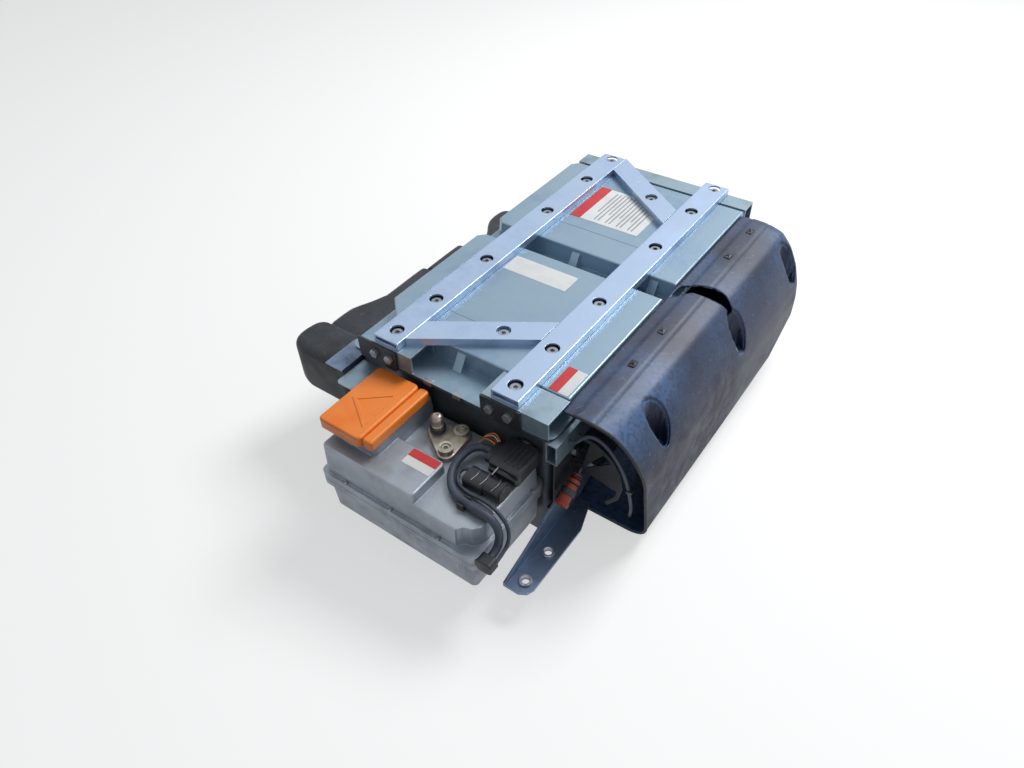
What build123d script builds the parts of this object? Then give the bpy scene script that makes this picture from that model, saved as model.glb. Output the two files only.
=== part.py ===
"""Traction battery module of a hybrid vehicle.

A sheet-metal tray and a stamped cover hold four strapped stacks of nickel-metal-hydride
modules. Aluminium rails and diagonal braces run over the cover, a cast electronics box
hangs on the front wall, and moulded air ducts run along both long sides.

Frame: millimetres, +X to the right seen from the electronics box, +Y to the rear, +Z up.
The origin is on the ground under the middle of the module.
"""

import os
from math import atan2, cos, degrees, hypot, radians, sin, tan

from build123d import *

os.makedirs("parts", exist_ok=True)

# ---------------------------------------------------------------- driving sizes
sheet = 1.5                # tray and cover sheet
tray_half_width = 164.0    # outside of the tray's side walls
tray_front = -236.0        # outside of the tray's front wall
tray_rear = 374.0          # outside of the tray's rear wall
tray_height = 201.5        # ground to the top of the tray's flange
flange_width = 8.0         # the flange's reach outside the walls
seal_height = 2.0
corner_radius = 12.0

plateau_rise = 28.0        # cover plateau above the cover's flange
plateau_half_width = 167.0
plateau_front = -193.0
groove_front = 61.0        # the cross groove between the two plateaus
groove_rear = 99.0
plateau_rear = 347.0
plateau_taper = 4.0
front_corner_cut = 40.0    # chamfer of the front plateau's left front corner
side_corner_cut = 12.0     # chamfers of the other left corners

rail_spacing = 200.0
rail_width = 43.0
rail_height = 12.0
rail_wall = 3.0
rail_front = -241.0
rail_rear = 380.0
rail_hole_rows = (-217.0, -132.0, -11.0, 157.0, 281.0, 368.0)
access_hole_radius = 10.5
m8_radius = 4.0
hole_clearance = 0.3
brace_width = 38.0
brace_hole_x = 24.0
brace_front_ends = (-203.0, -103.0)  # y of the front brace's axis at the left and right rail
brace_rear_ends = (359.0, 247.0)
brace_gap = 0.3
wall_gap = 0.3

beam_wall = 3.0
front_beam_depth = 50.0
front_beam_left = (-124.0, -55.0)
front_beam_right = (65.0, 167.7)
rear_beam_front = 350.0
rear_beam_depth = 32.0
rear_beam_ends = (-158.0, 166.0)

side_rail_width = 17.0
side_rail_height = 34.0
side_rail_rear = 120.0
side_rail_front = -245.0

duct_wall = 3.0

# ---------------------------------------------------------------- levels and places worked out
flange_top = tray_height + seal_height + sheet
plateau_top = flange_top + plateau_rise
rail_top = plateau_top + rail_height
rail_x = rail_spacing / 2
flange_half_width = tray_half_width + flange_width
tray_length = tray_rear - tray_front
tray_mid_y = (tray_rear + tray_front) / 2
flange_front = tray_front - flange_width
m8_hole = m8_radius + hole_clearance
brace_end = rail_x - rail_width / 2 - brace_gap


def save(piece, name):
    """Labels a finished piece and writes it to its own STEP file."""
    piece.label = name
    export_step(piece, f"parts/{name}.step")


# ---------------------------------------------------------------- tray
air_slot_length = 34.0
air_slot_height = 9.0
air_slot_pitch = 58.0
# Each side wall's slots: side, middle of the pattern, columns and heights.
air_slots = ((1, 110.0, 7, (40.0, 84.0, 128.0)), (-1, 0.0, 6, (116.0, 136.0, 156.0)))

with BuildPart() as tray:
    with BuildSketch():
        with Locations((0, tray_mid_y)):
            RectangleRounded(2 * tray_half_width, tray_length, corner_radius)
    extrude(amount=tray_height)
    offset(amount=-sheet, openings=tray.faces().sort_by(Axis.Z)[-1])
    with BuildSketch(Plane.XY.offset(tray_height - sheet)):
        with Locations((0, tray_mid_y)):
            RectangleRounded(2 * flange_half_width, tray_length + 2 * flange_width, corner_radius + 2)
            RectangleRounded(2 * (tray_half_width - sheet), tray_length - 2 * sheet,
                             corner_radius - sheet, mode=Mode.SUBTRACT)
    extrude(amount=sheet)
    # Cooling air passes through slots in both side walls.
    for side, slot_mid, columns, rows in air_slots:
        with BuildSketch(Plane.YZ):
            for row in rows:
                with Locations((slot_mid, row)):
                    with GridLocations(air_slot_pitch, 1, columns, 1):
                        Rectangle(air_slot_length, air_slot_height)
        extrude(amount=side * 2 * tray_half_width, mode=Mode.SUBTRACT)
save(tray.part, "tray")

with BuildPart() as tray_seal:
    with BuildSketch(Plane.XY.offset(tray_height)):
        with Locations((0, tray_mid_y)):
            RectangleRounded(2 * flange_half_width - 3, tray_length + 2 * flange_width - 3, corner_radius)
            RectangleRounded(2 * (tray_half_width - sheet), tray_length - 2 * sheet,
                             corner_radius - sheet, mode=Mode.SUBTRACT)
    extrude(amount=seal_height)
save(tray_seal.part, "tray_seal")

# ---------------------------------------------------------------- cover
screw_places = [(x, y) for x in (-rail_x, rail_x) for y in rail_hole_rows]


def brace_hole(ends):
    """The centre of a brace's screw hole, on the brace's axis."""
    share = (brace_hole_x + brace_end) / (2 * brace_end)
    return (brace_hole_x, ends[0] + (ends[1] - ends[0]) * share)


screw_places += [brace_hole(brace_front_ends), brace_hole(brace_rear_ends)]
cover_screw_places = [(x, y) for x, y in screw_places if plateau_front < y < plateau_rear]
plateaus = (
    (plateau_front, groove_front, front_corner_cut),
    (groove_rear, plateau_rear, side_corner_cut),
)
nut_radius = 8.0
nut_height = 6.5
gusset_reach = 13.0
gusset_width = 14.0


def plateau_corners(front, rear, cut, inset):
    """A plateau's corners, with the left ones cut off, inset by the sheet or by nothing."""
    half = plateau_half_width - inset
    front += inset
    rear -= inset
    return ((half, front), (half, rear), (-half + side_corner_cut, rear), (-half, rear - side_corner_cut),
            (-half, front + cut), (-half + cut, front))


with BuildPart() as cover:
    with BuildSketch(Plane.XY.offset(tray_height + seal_height)):
        with Locations((0, tray_mid_y)):
            RectangleRounded(2 * flange_half_width, tray_length + 2 * flange_width, corner_radius + 2)
    extrude(amount=sheet)
    for front, rear, cut in plateaus:
        with BuildSketch(Plane.XY.offset(flange_top)):
            Polygon(*plateau_corners(front, rear, cut, 0), align=None)
        extrude(amount=plateau_rise, taper=plateau_taper)
    fillet(cover.faces().group_by(Axis.Z)[-1].edges(), 2.5)
    # The underside follows the top, one sheet lower.
    for front, rear, cut in plateaus:
        with BuildSketch(Plane.XY.offset(tray_height + seal_height)):
            Polygon(*plateau_corners(front, rear, cut, sheet), align=None)
        extrude(amount=plateau_rise, taper=plateau_taper, mode=Mode.SUBTRACT)
    # Gussets stiffen the corner between a plateau's front wall and the flange.
    for y, places in ((plateau_front, (-8.0,)), (groove_rear, (-8.0, 130.0))):
        for x in places:
            with BuildSketch(Plane.YZ.offset(x - gusset_width / 2)):
                with BuildLine():
                    Polyline((y - gusset_reach, flange_top), (y + 1, flange_top),
                             (y + 2.5, plateau_top - 5), close=True)
                make_face()
            extrude(amount=gusset_width)
    # A clinched nut sits under every screw hole.
    with Locations([(x, y, plateau_top - sheet) for x, y in cover_screw_places]):
        Cylinder(nut_radius, nut_height, align=(Align.CENTER, Align.CENTER, Align.MAX))
    with Locations([(x, y, plateau_top) for x, y in cover_screw_places]):
        Hole(m8_hole, depth=sheet + nut_height)
save(cover.part, "cover")

clip_sheet = 1.2
clip_width = 13.0
clip_places = (-28.0, 22.0)
clip_reach = 6.5

with BuildPart() as cover_clips:
    for x in clip_places:
        with BuildSketch(Plane.YZ.offset(x - clip_width / 2)):
            with Locations((flange_front - clip_sheet, tray_height - sheet - clip_sheet)):
                Rectangle(clip_reach + clip_sheet, flange_top - tray_height + sheet + 2 * clip_sheet,
                          align=(Align.MIN, Align.MIN))
            with Locations((flange_front, tray_height - sheet)):
                Rectangle(clip_reach + clip_sheet, flange_top - tray_height + sheet,
                          align=(Align.MIN, Align.MIN), mode=Mode.SUBTRACT)
        extrude(amount=clip_width)
save(cover_clips.part, "cover_clips")

# ---------------------------------------------------------------- rails, braces and beams
rail_length = rail_rear - rail_front


def rail(x):
    """One aluminium box-section rail, with an access hole over each screw hole."""
    with BuildPart() as made:
        with BuildSketch(Plane.XZ.offset(-rail_rear)):
            with Locations((x, plateau_top + rail_height / 2)):
                RectangleRounded(rail_width, rail_height, 1.2)
                Rectangle(rail_width - 2 * rail_wall, rail_height - 2 * rail_wall, mode=Mode.SUBTRACT)
        extrude(amount=rail_length)
        with Locations([(x, y, rail_top) for y in rail_hole_rows]):
            Hole(m8_hole, depth=rail_height)
            Hole(access_hole_radius, depth=rail_height - rail_wall)
    return made.part


def brace(ends):
    """A flat bar on the cover from one rail's side to the other's, with one screw hole."""
    turn = degrees(atan2(ends[1] - ends[0], 2 * brace_end))
    length = hypot(ends[1] - ends[0], 2 * brace_end)
    with BuildPart() as made:
        with BuildSketch(Plane.XY.offset(plateau_top)):
            with Locations(Location((0, (ends[0] + ends[1]) / 2, 0), (0, 0, turn))):
                Rectangle(length + 2 * brace_width, brace_width)
            with Locations((0, tray_mid_y)):
                Rectangle(2 * brace_end, 2 * tray_length, mode=Mode.INTERSECT)
        extrude(amount=rail_height)
        with Locations((*brace_hole(ends), rail_top)):
            CounterBoreHole(m8_hole, access_hole_radius, rail_height - rail_wall)
    return made.part


save(rail(-rail_x), "rail_left")
save(rail(rail_x), "rail_right")
save(brace(brace_front_ends), "brace_front")
save(brace(brace_rear_ends), "brace_rear")

screw_head_radius = 7.5
screw_head_height = 5.0
screw_length = 12.0
screw_seat = plateau_top + rail_wall


def beam(ends, front, depth, hole_places, bolt_places):
    """A cross beam: an inverted channel that stands on the cover's flange under the rails."""
    with BuildPart() as made:
        with BuildSketch(Plane.YZ.offset(ends[0])):
            with Locations((front, flange_top)):
                Rectangle(depth, plateau_rise, align=(Align.MIN, Align.MIN))
            with Locations((front + beam_wall, flange_top)):
                Rectangle(depth - 2 * beam_wall, plateau_rise - beam_wall,
                          align=(Align.MIN, Align.MIN), mode=Mode.SUBTRACT)
        extrude(amount=ends[1] - ends[0])
        with Locations([(x, y, plateau_top) for x, y in hole_places]):
            Hole(m8_hole, depth=beam_wall)
        if bolt_places:
            with BuildSketch(Plane.XZ.offset(-front - beam_wall)):
                with Locations(bolt_places):
                    Circle(m8_hole)
            extrude(amount=beam_wall, mode=Mode.SUBTRACT)
    return made.part


bracket_bolt_height = flange_top + 12.0
bracket_bolts_left = [(-118.0, bracket_bolt_height), (-92.0, bracket_bolt_height)]
bracket_bolts_right = [(80.0, bracket_bolt_height), (109.0, bracket_bolt_height)]
save(beam(front_beam_left, flange_front, front_beam_depth, [(-rail_x, rail_hole_rows[0])],
          bracket_bolts_left), "front_beam_left")
save(beam(front_beam_right, flange_front, front_beam_depth, [(rail_x, rail_hole_rows[0])],
          bracket_bolts_right), "front_beam_right")
save(beam(rear_beam_ends, rear_beam_front, rear_beam_depth,
          [(-rail_x, rail_hole_rows[-1]), (rail_x, rail_hole_rows[-1])], []), "rear_beam")

with BuildPart() as rail_screws:
    with Locations([(x, y, screw_seat) for x, y in screw_places]):
        Cylinder(screw_head_radius, screw_head_height, align=(Align.CENTER, Align.CENTER, Align.MIN))
        Cylinder(m8_radius, screw_length, align=(Align.CENTER, Align.CENTER, Align.MAX))
    with BuildSketch(Plane.XY.offset(screw_seat + screw_head_height)):
        with Locations(screw_places):
            RegularPolygon(3.5, 6)
    extrude(amount=-3, mode=Mode.SUBTRACT)
save(rail_screws.part, "rail_screws")

end_plate_sheet = 3.0
end_plate_drop = 8.0


def rail_end_plate(x_from, x_to, bolt_places):
    """The black plate bolted to a front beam under its rail's end."""
    with BuildPart() as made:
        with BuildSketch(Plane.XZ.offset(-flange_front)):
            with Locations(((x_from + x_to) / 2, plateau_top - 1)):
                Rectangle(x_to - x_from, plateau_rise + end_plate_drop - 1, align=(Align.CENTER, Align.MAX))
            chamfer(vertices().group_by(Axis.Y)[0], 4)
            with Locations(bolt_places):
                Circle(m8_hole, mode=Mode.SUBTRACT)
        extrude(amount=end_plate_sheet)
    return made.part


save(rail_end_plate(-150.0, -80.0, bracket_bolts_left), "rail_end_plate_left")
save(rail_end_plate(64.0, 127.0, bracket_bolts_right), "rail_end_plate_right")

hex_bolt_radius = 6.8
hex_bolt_height = 5.3
bolt_shank = 9.0
end_plate_front = flange_front - end_plate_sheet


# ---------------------------------------------------------------- right side: rail, panel and bracket
side_rail_wall = 2.0
side_rail_top = tray_height - sheet
side_rail_outer = tray_half_width + side_rail_width
side_rail_base = side_rail_top - side_rail_height

with BuildPart() as side_rail:
    with BuildSketch(Plane.XZ.offset(-side_rail_rear)):
        with Locations((tray_half_width, side_rail_base)):
            Rectangle(side_rail_width, side_rail_height, align=(Align.MIN, Align.MIN))
        with Locations((tray_half_width + side_rail_wall, side_rail_base + side_rail_wall)):
            Rectangle(side_rail_width - 2 * side_rail_wall, side_rail_height - 2 * side_rail_wall,
                      align=(Align.MIN, Align.MIN), mode=Mode.SUBTRACT)
    extrude(amount=side_rail_rear - side_rail_front)
save(side_rail.part, "side_rail")

panel_sheet = 2.5
panel_outer = 176.5
panel_front = -242.0
panel_rear = -110.0
panel_base = 66.0
panel_bolts = ((-196.0, 150.0), (-130.0, 150.0))
bracket_sheet = 3.5
bracket_floor = 45.0       # the bracket plate's upper side
bracket_edge = 214.0
bracket_tip = -362.0
bracket_plate_rear = -186.0
bracket_hole_x = 198.0
bracket_hole_rows = (-342.0, -289.0)
bracket_hole_radius = 5.5
bracket_bolts = ((-214.0, 79.0), (-150.0, 79.0))
bracket_outer = panel_outer + bracket_sheet

with BuildPart() as side_panel:
    with BuildSketch(Plane.XZ.offset(-panel_rear)):
        with Locations((panel_outer, panel_base)):
            Rectangle(panel_outer - tray_half_width, side_rail_base - panel_base,
                      align=(Align.MAX, Align.MIN))
        with Locations((panel_outer - panel_sheet, panel_base + panel_sheet)):
            Rectangle(panel_outer, side_rail_base - panel_base - 2 * panel_sheet,
                      align=(Align.MAX, Align.MIN), mode=Mode.SUBTRACT)
    extrude(amount=panel_rear - panel_front)
    with BuildSketch(Plane.YZ.offset(panel_outer - panel_sheet)):
        with Locations(panel_bolts + bracket_bolts):
            Circle(m8_hole)
    extrude(amount=panel_sheet, mode=Mode.SUBTRACT)
save(side_panel.part, "side_panel")

with BuildPart() as mounting_bracket:
    with BuildSketch(Plane.YZ.offset(panel_outer)):
        Polygon((bracket_tip, bracket_floor - bracket_sheet), (bracket_tip, bracket_floor + 5),
                (-311, 66), (-257, 88), (-238, 94), (-140, 94), (-140, 66),
                (bracket_plate_rear, bracket_floor - bracket_sheet), align=None)
        with Locations(bracket_bolts):
            Circle(m8_hole, mode=Mode.SUBTRACT)
    extrude(amount=bracket_sheet)
    with BuildSketch(Plane.XY.offset(bracket_floor - bracket_sheet)):
        Polygon((panel_outer, bracket_tip), (bracket_edge - 14, bracket_tip), (bracket_edge - 4, bracket_tip + 6),
                (bracket_edge, bracket_tip + 16), (bracket_edge, -232), (bracket_edge - 14, bracket_plate_rear),
                (panel_outer, bracket_plate_rear), align=None)
        with Locations([(bracket_hole_x, y) for y in bracket_hole_rows]):
            Circle(bracket_hole_radius, mode=Mode.SUBTRACT)
    extrude(amount=bracket_sheet)
save(mounting_bracket.part, "mounting_bracket")

collar_radius = 9.0
collar_height = 4.0
with BuildPart() as bracket_collars:
    with BuildSketch(Plane.XY.offset(bracket_floor)):
        with Locations([(bracket_hole_x, y) for y in bracket_hole_rows]):
            Circle(collar_radius)
            Circle(bracket_hole_radius, mode=Mode.SUBTRACT)
    extrude(amount=collar_height)
    chamfer(bracket_collars.faces().group_by(Axis.Z)[-1].edges(), 0.8)
save(bracket_collars.part, "bracket_collars")

# The same hexagon bolt holds the end plates, the side panel and the bracket.
bolt_groups = (
    (Plane.XZ.offset(-end_plate_front), bracket_bolts_left + bracket_bolts_right),
    (Plane.YZ.offset(panel_outer), panel_bolts),
    (Plane.YZ.offset(bracket_outer), bracket_bolts),
)
with BuildPart() as hex_bolts:
    for seat, places in bolt_groups:
        with BuildSketch(seat):
            with Locations(places):
                RegularPolygon(hex_bolt_radius, 6)
        extrude(amount=hex_bolt_height)
        with BuildSketch(seat):
            with Locations(places):
                Circle(m8_radius)
        extrude(amount=-bolt_shank)
save(hex_bolts.part, "hex_bolts")

# ---------------------------------------------------------------- right duct shroud
shroud_inner = 168.0       # the lip that stands on the cover's flange
shroud_lip = 3.0
shroud_rim_top = -212.0    # the open mouth's rim at the top
shroud_rim_slope = 0.19    # how far the rim falls back for each unit of height
shroud_rear = 347.0
# Along the duct: place, width outside the lip, height of the widest line, height of the underside.
shroud_stations = (
    (-230.0, 116.0, 142.0, 6.0),
    (60.0, 117.0, 134.0, 9.0),
    (240.0, 120.0, 122.0, 24.0),
    (332.0, 120.0, 116.0, 62.0),
)
# The shoulder's curve: shares of the width, and of the drop to the widest line.
shoulder = ((0.395, 0.012), (0.614, 0.075), (0.77, 0.25), (0.895, 0.505), (0.974, 0.785))
belly_radius = 26.0
rear_round = 14.0
pocket_places = ((262.0, -132.0), (268.0, 104.0), (266.0, 308.0))
pocket_radius = 15.0
pocket_flare = 5.0
pocket_floor = 150.0
pocket_height = 90.0
slot_front = 66.0
slot_rear = 130.0


def shroud_section(station, inset, foot):
    """The duct's section at one station: lip, shoulder, belly and underside."""
    y, width, widest, base = station
    top = plateau_top - inset
    left = shroud_inner if foot is None else foot
    width -= inset
    start = shroud_inner + width * 0.2
    drop = top - widest
    curve = [(shroud_inner + width * u, top - drop * v) for u, v in shoulder]
    outer = shroud_inner + width
    base += inset
    radius = belly_radius - inset
    with BuildSketch(Plane.XZ.offset(-y)) as made:
        with BuildLine():
            Line((left, base), (left, top))
            Line((left, top), (start, top))
            Spline((start, top), *curve, (outer, widest), tangents=((1, 0), (0, -1)))
            Line((outer, widest), (outer, base + radius))
            RadiusArc((outer, base + radius), (outer - radius, base), radius)
            Line((outer - radius, base), (left, base))
        make_face()
    return made.sketch


def shroud_body(inset, foot):
    """The duct's solid form, from ahead of its mouth to its rounded rear end."""
    last = shroud_stations[-1]
    closing = (shroud_rear - inset, last[1] - rear_round, last[2] + 4, last[3] + rear_round)
    with BuildPart() as made:
        loft([shroud_section(station, inset, foot) for station in shroud_stations])
        loft([shroud_section(station, inset, foot) for station in (last, closing)], ruled=True)
    return made.part


with BuildPart() as pocket_cores:
    with Locations([(x, y, pocket_floor) for x, y in pocket_places]):
        Cone(pocket_radius, pocket_radius + pocket_flare, pocket_height,
             align=(Align.CENTER, Align.CENTER, Align.MIN))

with BuildPart() as pocket_walls:
    with Locations([(x, y, pocket_floor - duct_wall) for x, y in pocket_places]):
        Cone(pocket_radius + duct_wall, pocket_radius + pocket_flare + duct_wall, pocket_height,
             align=(Align.CENTER, Align.CENTER, Align.MIN))

with BuildPart() as shroud_hollow:
    add(shroud_body(duct_wall, tray_half_width - 1))
    add(pocket_walls.part, mode=Mode.SUBTRACT)

with BuildPart() as duct_shroud:
    add(shroud_body(0, tray_half_width))
    # The inner side stands clear of the tray's and the cover's flanges.
    with BuildSketch(Plane.XZ.offset(-2 * shroud_rear)):
        with Locations((0, tray_height - 2 * sheet - 1)):
            Rectangle(shroud_inner, tray_height, align=(Align.MIN, Align.MIN))
        with Locations((0, tray_height - 2 * sheet - 1)):
            Rectangle(flange_half_width + 1, flange_top - tray_height + 2 * sheet + 1,
                      align=(Align.MIN, Align.MIN))
    extrude(amount=4 * shroud_rear, mode=Mode.SUBTRACT)
    add(pocket_cores.part, mode=Mode.SUBTRACT)
    add(shroud_hollow.part, mode=Mode.SUBTRACT)
    # The mouth is cut on a slope, and the top is cut through between the two halves.
    with BuildSketch(Plane.YZ.offset(tray_half_width - 1)):
        Polygon((-400, -40), (shroud_rim_top + shroud_rim_slope * (plateau_top + 40), -40),
                (shroud_rim_top - shroud_rim_slope * 40, plateau_top + 40), (-400, plateau_top + 40), align=None)
    extrude(amount=200, mode=Mode.SUBTRACT)
    with BuildSketch(Plane.XY.offset(plateau_top - 60)):
        with BuildLine():
            Polyline((shroud_inner - 1, slot_rear - 30), (shroud_inner - 1, slot_front),
                     (shroud_inner + 26, slot_front + 30), (shroud_inner + 94, slot_rear - 26))
            Spline((shroud_inner + 94, slot_rear - 26), (shroud_inner + 56, slot_rear),
                   (shroud_inner - 1, slot_rear - 30))
        make_face()
    extrude(amount=80, mode=Mode.SUBTRACT)
save(duct_shroud.part, "duct_shroud")

shroud_screw_radius = 7.0
with BuildPart() as shroud_screws:
    with Locations([(x, y, pocket_floor) for x, y in pocket_places]):
        Cylinder(shroud_screw_radius, 2, align=(Align.CENTER, Align.CENTER, Align.MIN))
    with BuildSketch(Plane.XY.offset(pocket_floor + 2)):
        with Locations(pocket_places):
            RegularPolygon(5.0, 6)
    extrude(amount=4)
save(shroud_screws.part, "shroud_screws")

# A fan of webs inside the duct's mouth steadies the sensor lead.
spider_front = -202.0
spider_sheet = 2.5
spider_hub = (192.0, 127.8)
spider_hub_radius = 9.0
spider_hub_hole = 3.9
spider_ring = (57.0, 63.0)
spider_webs = ((-11.0, 40.0), (56.0, 78.0))


def fan(start, end, inner, outer):
    """A piece of a ring about the origin, between two angles in degrees and two radii."""
    arc = [radians(start + (end - start) * step / 6) for step in range(7)]
    rim = [(outer * cos(a), outer * sin(a)) for a in arc]
    root = [(inner * cos(a), inner * sin(a)) for a in reversed(arc)]
    return rim + root


with BuildPart() as inlet_spider:
    with BuildSketch(Plane.XZ.offset(-spider_front)):
        with Locations(spider_hub):
            Circle(spider_hub_radius)
            for start, end in spider_webs:
                Polygon(*fan(start, end, 3, spider_ring[1] - 1), align=None)
            Polygon(*fan(-48, 96, *spider_ring), align=None)
        with Locations((panel_outer, spider_hub[1])):
            Rectangle(spider_hub[0] - panel_outer, 12, align=(Align.MIN, Align.CENTER))
        with Locations(spider_hub):
            Circle(spider_hub_hole, mode=Mode.SUBTRACT)
    extrude(amount=-spider_sheet)
    with BuildSketch(Plane.YZ.offset(panel_outer)):
        with Locations((spider_front + spider_sheet, spider_hub[1])):
            Rectangle(18, 20, align=(Align.MIN, Align.CENTER))
    extrude(amount=spider_sheet)
save(inlet_spider.part, "inlet_spider")

# ---------------------------------------------------------------- left duct
left_duct_base = 98.0
left_duct_bevel = 9.0
bulb_top = 178.0
bulb_opening = 26.0        # how much lower than the duct the way out of the bulb is
# Along the duct: place, outer side and height of the top; both ends are drawn in.
duct_end_draw = 7.0
bulb_stations = ((-271.0, -258.0, bulb_top - duct_end_draw), (-262.0, -276.0, bulb_top),
                 (-240.0, -288.0, bulb_top), (-216.0, -286.0, bulb_top), (-204.0, -274.0, bulb_top))
left_duct_stations = ((-204.0, -274.0, 172.0), (-148.0, -272.0, 172.0), (-94.0, -250.0, 172.0),
                      (-8.0, -250.0, 172.0), (0.0, -242.0, 172.0), (80.0, -242.0, 172.0),
                      (90.0, -222.0, 172.0), (140.0, -221.0, 172.0), (186.0, -246.0, 172.0),
                      (222.0, -246.0, 172.0), (231.0, -232.0, 172.0 - duct_end_draw))


def left_section(station, inset, root):
    """The left duct's section at one station: an open-sided box with bevelled outer corners."""
    y, outer, top = station
    outer += inset
    top -= inset
    base = left_duct_base + inset
    bevel = left_duct_bevel - inset / 2
    with BuildSketch(Plane.XZ.offset(-y)) as made:
        Polygon((root, base), (root, top), (outer + bevel, top), (outer, top - bevel),
                (outer, base + bevel), (outer + bevel, base), align=None)
    return made.sketch


def left_form(stations, inset, root):
    """One stretch of the left duct, inset by a wall at its sides and its two ends."""
    first, last = stations[0], stations[-1]
    drawn = ((first[0] + inset, *first[1:]), *stations[1:-1], (last[0] - inset, *last[1:]))
    with BuildPart() as made:
        loft([left_section(station, inset, root) for station in drawn], ruled=True)
    return made.part


with BuildPart() as left_duct:
    for stations in (bulb_stations, left_duct_stations):
        add(left_form(stations, 0, -tray_half_width))
    for stations in (bulb_stations, left_duct_stations):
        add(left_form(stations, duct_wall, 1 - tray_half_width), mode=Mode.SUBTRACT)
    # The way from the bulb into the long stretch is open.
    with BuildSketch(Plane.XZ.offset(-left_duct_stations[0][0] + 2 * duct_wall)):
        with Locations((-tray_half_width - 50, (left_duct_base + bulb_top) / 2)):
            Rectangle(80, bulb_top - left_duct_base - bulb_opening)
    extrude(amount=-4 * duct_wall, mode=Mode.SUBTRACT)
save(left_duct.part, "left_duct")

# ---------------------------------------------------------------- left side plates
strip_sheet = 3.0
strip_outer = -197.0
strip_front = -276.0
strip_rear = 60.0
strip_leg = 34.0

with BuildPart() as duct_strip:
    with BuildSketch(Plane.XY.offset(bulb_top)):
        Polygon((-tray_half_width, strip_front), (strip_outer, strip_front), (strip_outer, -214),
                (-184, -200), (-184, strip_rear), (-tray_half_width, strip_rear), align=None)
    extrude(amount=strip_sheet)
save(duct_strip.part, "duct_strip")

front_angle_left = -160.0
front_angle_right = -128.0
front_angle_tip = -292.0
front_angle_top = 175.0
with BuildPart() as front_angle:
    with BuildSketch(Plane.YZ.offset(front_angle_left)):
        with Locations((tray_front, front_angle_top)):
            Rectangle(tray_front - front_angle_tip, strip_sheet, align=(Align.MAX, Align.MAX))
            Rectangle(strip_sheet, strip_leg + 10, align=(Align.MAX, Align.MAX))
    extrude(amount=front_angle_right - front_angle_left)
    fillet(front_angle.edges().filter_by(Axis.Z).group_by(Axis.Y)[0], 4)
save(front_angle.part, "front_angle")

# ---------------------------------------------------------------- electronics box
box_left = -106.0          # outside of the joint flanges
box_right = 158.0
box_front = -393.0
box_joint = 104.0          # height of the joint between box and lid
box_base = 45.0
box_flange = 5.0
box_flange_height = 10.0
box_gasket = 1.2
cast_wall = 4.0
cast_taper = 3.0
box_radius = 10.0
lid_level = 150.0          # the connectors' level
lid_step_level = 166.0     # the raised front left part
lid_block_level = 182.0    # the block under the service cover
lid_step_right = 62.0
lid_step_rear = -316.0
lid_block_right = -18.0
lid_block_front = -366.0
box_rear = tray_front
gland_place = (-366.0, 76.0)  # y and z of the gland in the box's left wall
gland_radius = 8.5
lid_base = box_joint + box_gasket
lid_walls = lid_base + box_flange_height + 1
box_floor = box_base + cast_wall
board_level = box_floor + 12
board_corners = [(x, y) for x in (30, 136) for y in (-366, -262)]


def box_plan(inset, right=box_right, front=box_front, rear=box_rear, radius=box_radius):
    """The electronics box's outline, inset from the flange; it keeps its rear at the tray's wall."""
    left = box_left + inset
    right -= inset
    front += inset
    with BuildSketch() as made:
        with Locations(((left + right) / 2, (front + rear) / 2)):
            RectangleRounded(right - left, rear - front, radius)
    return made.sketch


with BuildPart() as box_tray:
    with BuildSketch(Plane.XY.offset(box_joint - box_flange_height)):
        add(box_plan(box_flange, rear=box_rear - 3))
    extrude(amount=-(box_joint - box_flange_height - box_base), taper=cast_taper)
    with BuildSketch(Plane.XY.offset(box_joint - box_flange_height)):
        add(box_plan(0))
    extrude(amount=box_flange_height)
    with BuildSketch(Plane.XY.offset(box_joint)):
        add(box_plan(box_flange + cast_wall, rear=box_rear - 3 - cast_wall, radius=box_radius - 3))
    extrude(amount=-(box_joint - box_base - cast_wall), taper=cast_taper, mode=Mode.SUBTRACT)
    # Cast bosses carry the controller board.
    with BuildSketch(Plane.XY.offset(box_floor)):
        with Locations(board_corners):
            RegularPolygon(4, 6)
    extrude(amount=board_level - box_floor)
    # Two flutes run down the front right corner.
    with BuildSketch(Plane.XY.offset(box_base)):
        with Locations([(box_right - box_flange - along, box_front + box_flange) for along in (16, 26)]):
            Circle(2.5)
    extrude(amount=box_joint - box_flange_height - box_base, mode=Mode.SUBTRACT)
    with BuildSketch(Plane.YZ.offset(box_left - 1)):
        with Locations(gland_place):
            Circle(gland_radius + 0.2)
    extrude(amount=30, mode=Mode.SUBTRACT)
save(box_tray.part, "box_tray")

with BuildPart() as box_gasket_part:
    with BuildSketch(Plane.XY.offset(box_joint)):
        add(box_plan(0.5, rear=box_rear - 0.5))
        with Locations(((box_left + box_right) / 2, (box_front + box_rear - 6) / 2)):
            RectangleRounded(box_right - box_left - 2 * (box_flange + cast_wall) + 2,
                             box_rear - box_front - 2 * (box_flange + cast_wall) - 4, 7, mode=Mode.SUBTRACT)
    extrude(amount=box_gasket)
save(box_gasket_part.part, "box_gasket")

lid_parts = (
    (box_right, box_front, box_rear - 5, lid_level),
    (lid_step_right + box_flange, box_front, lid_step_rear, lid_step_level),
    (lid_block_right + box_flange, lid_block_front - box_flange, box_rear - 5, lid_block_level),
)
notch_corners = ((124, -400), (127, -384), (133, -377), (143, -374), (150, -366), (154, -352), (170, -350),
                 (170, -400))

edge_round = 3.0


def lid_block(right, front, rear, level):
    """One stepped part of the lid: leaning cast walls and a rounded top edge."""
    with BuildPart() as made:
        with BuildSketch(Plane.XY.offset(lid_walls)):
            add(box_plan(box_flange, right, front, rear))
        extrude(amount=level - lid_walls, taper=cast_taper)
        fillet(made.faces().sort_by(Axis.Z)[-1].edges(), edge_round)
    return made.part


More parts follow.
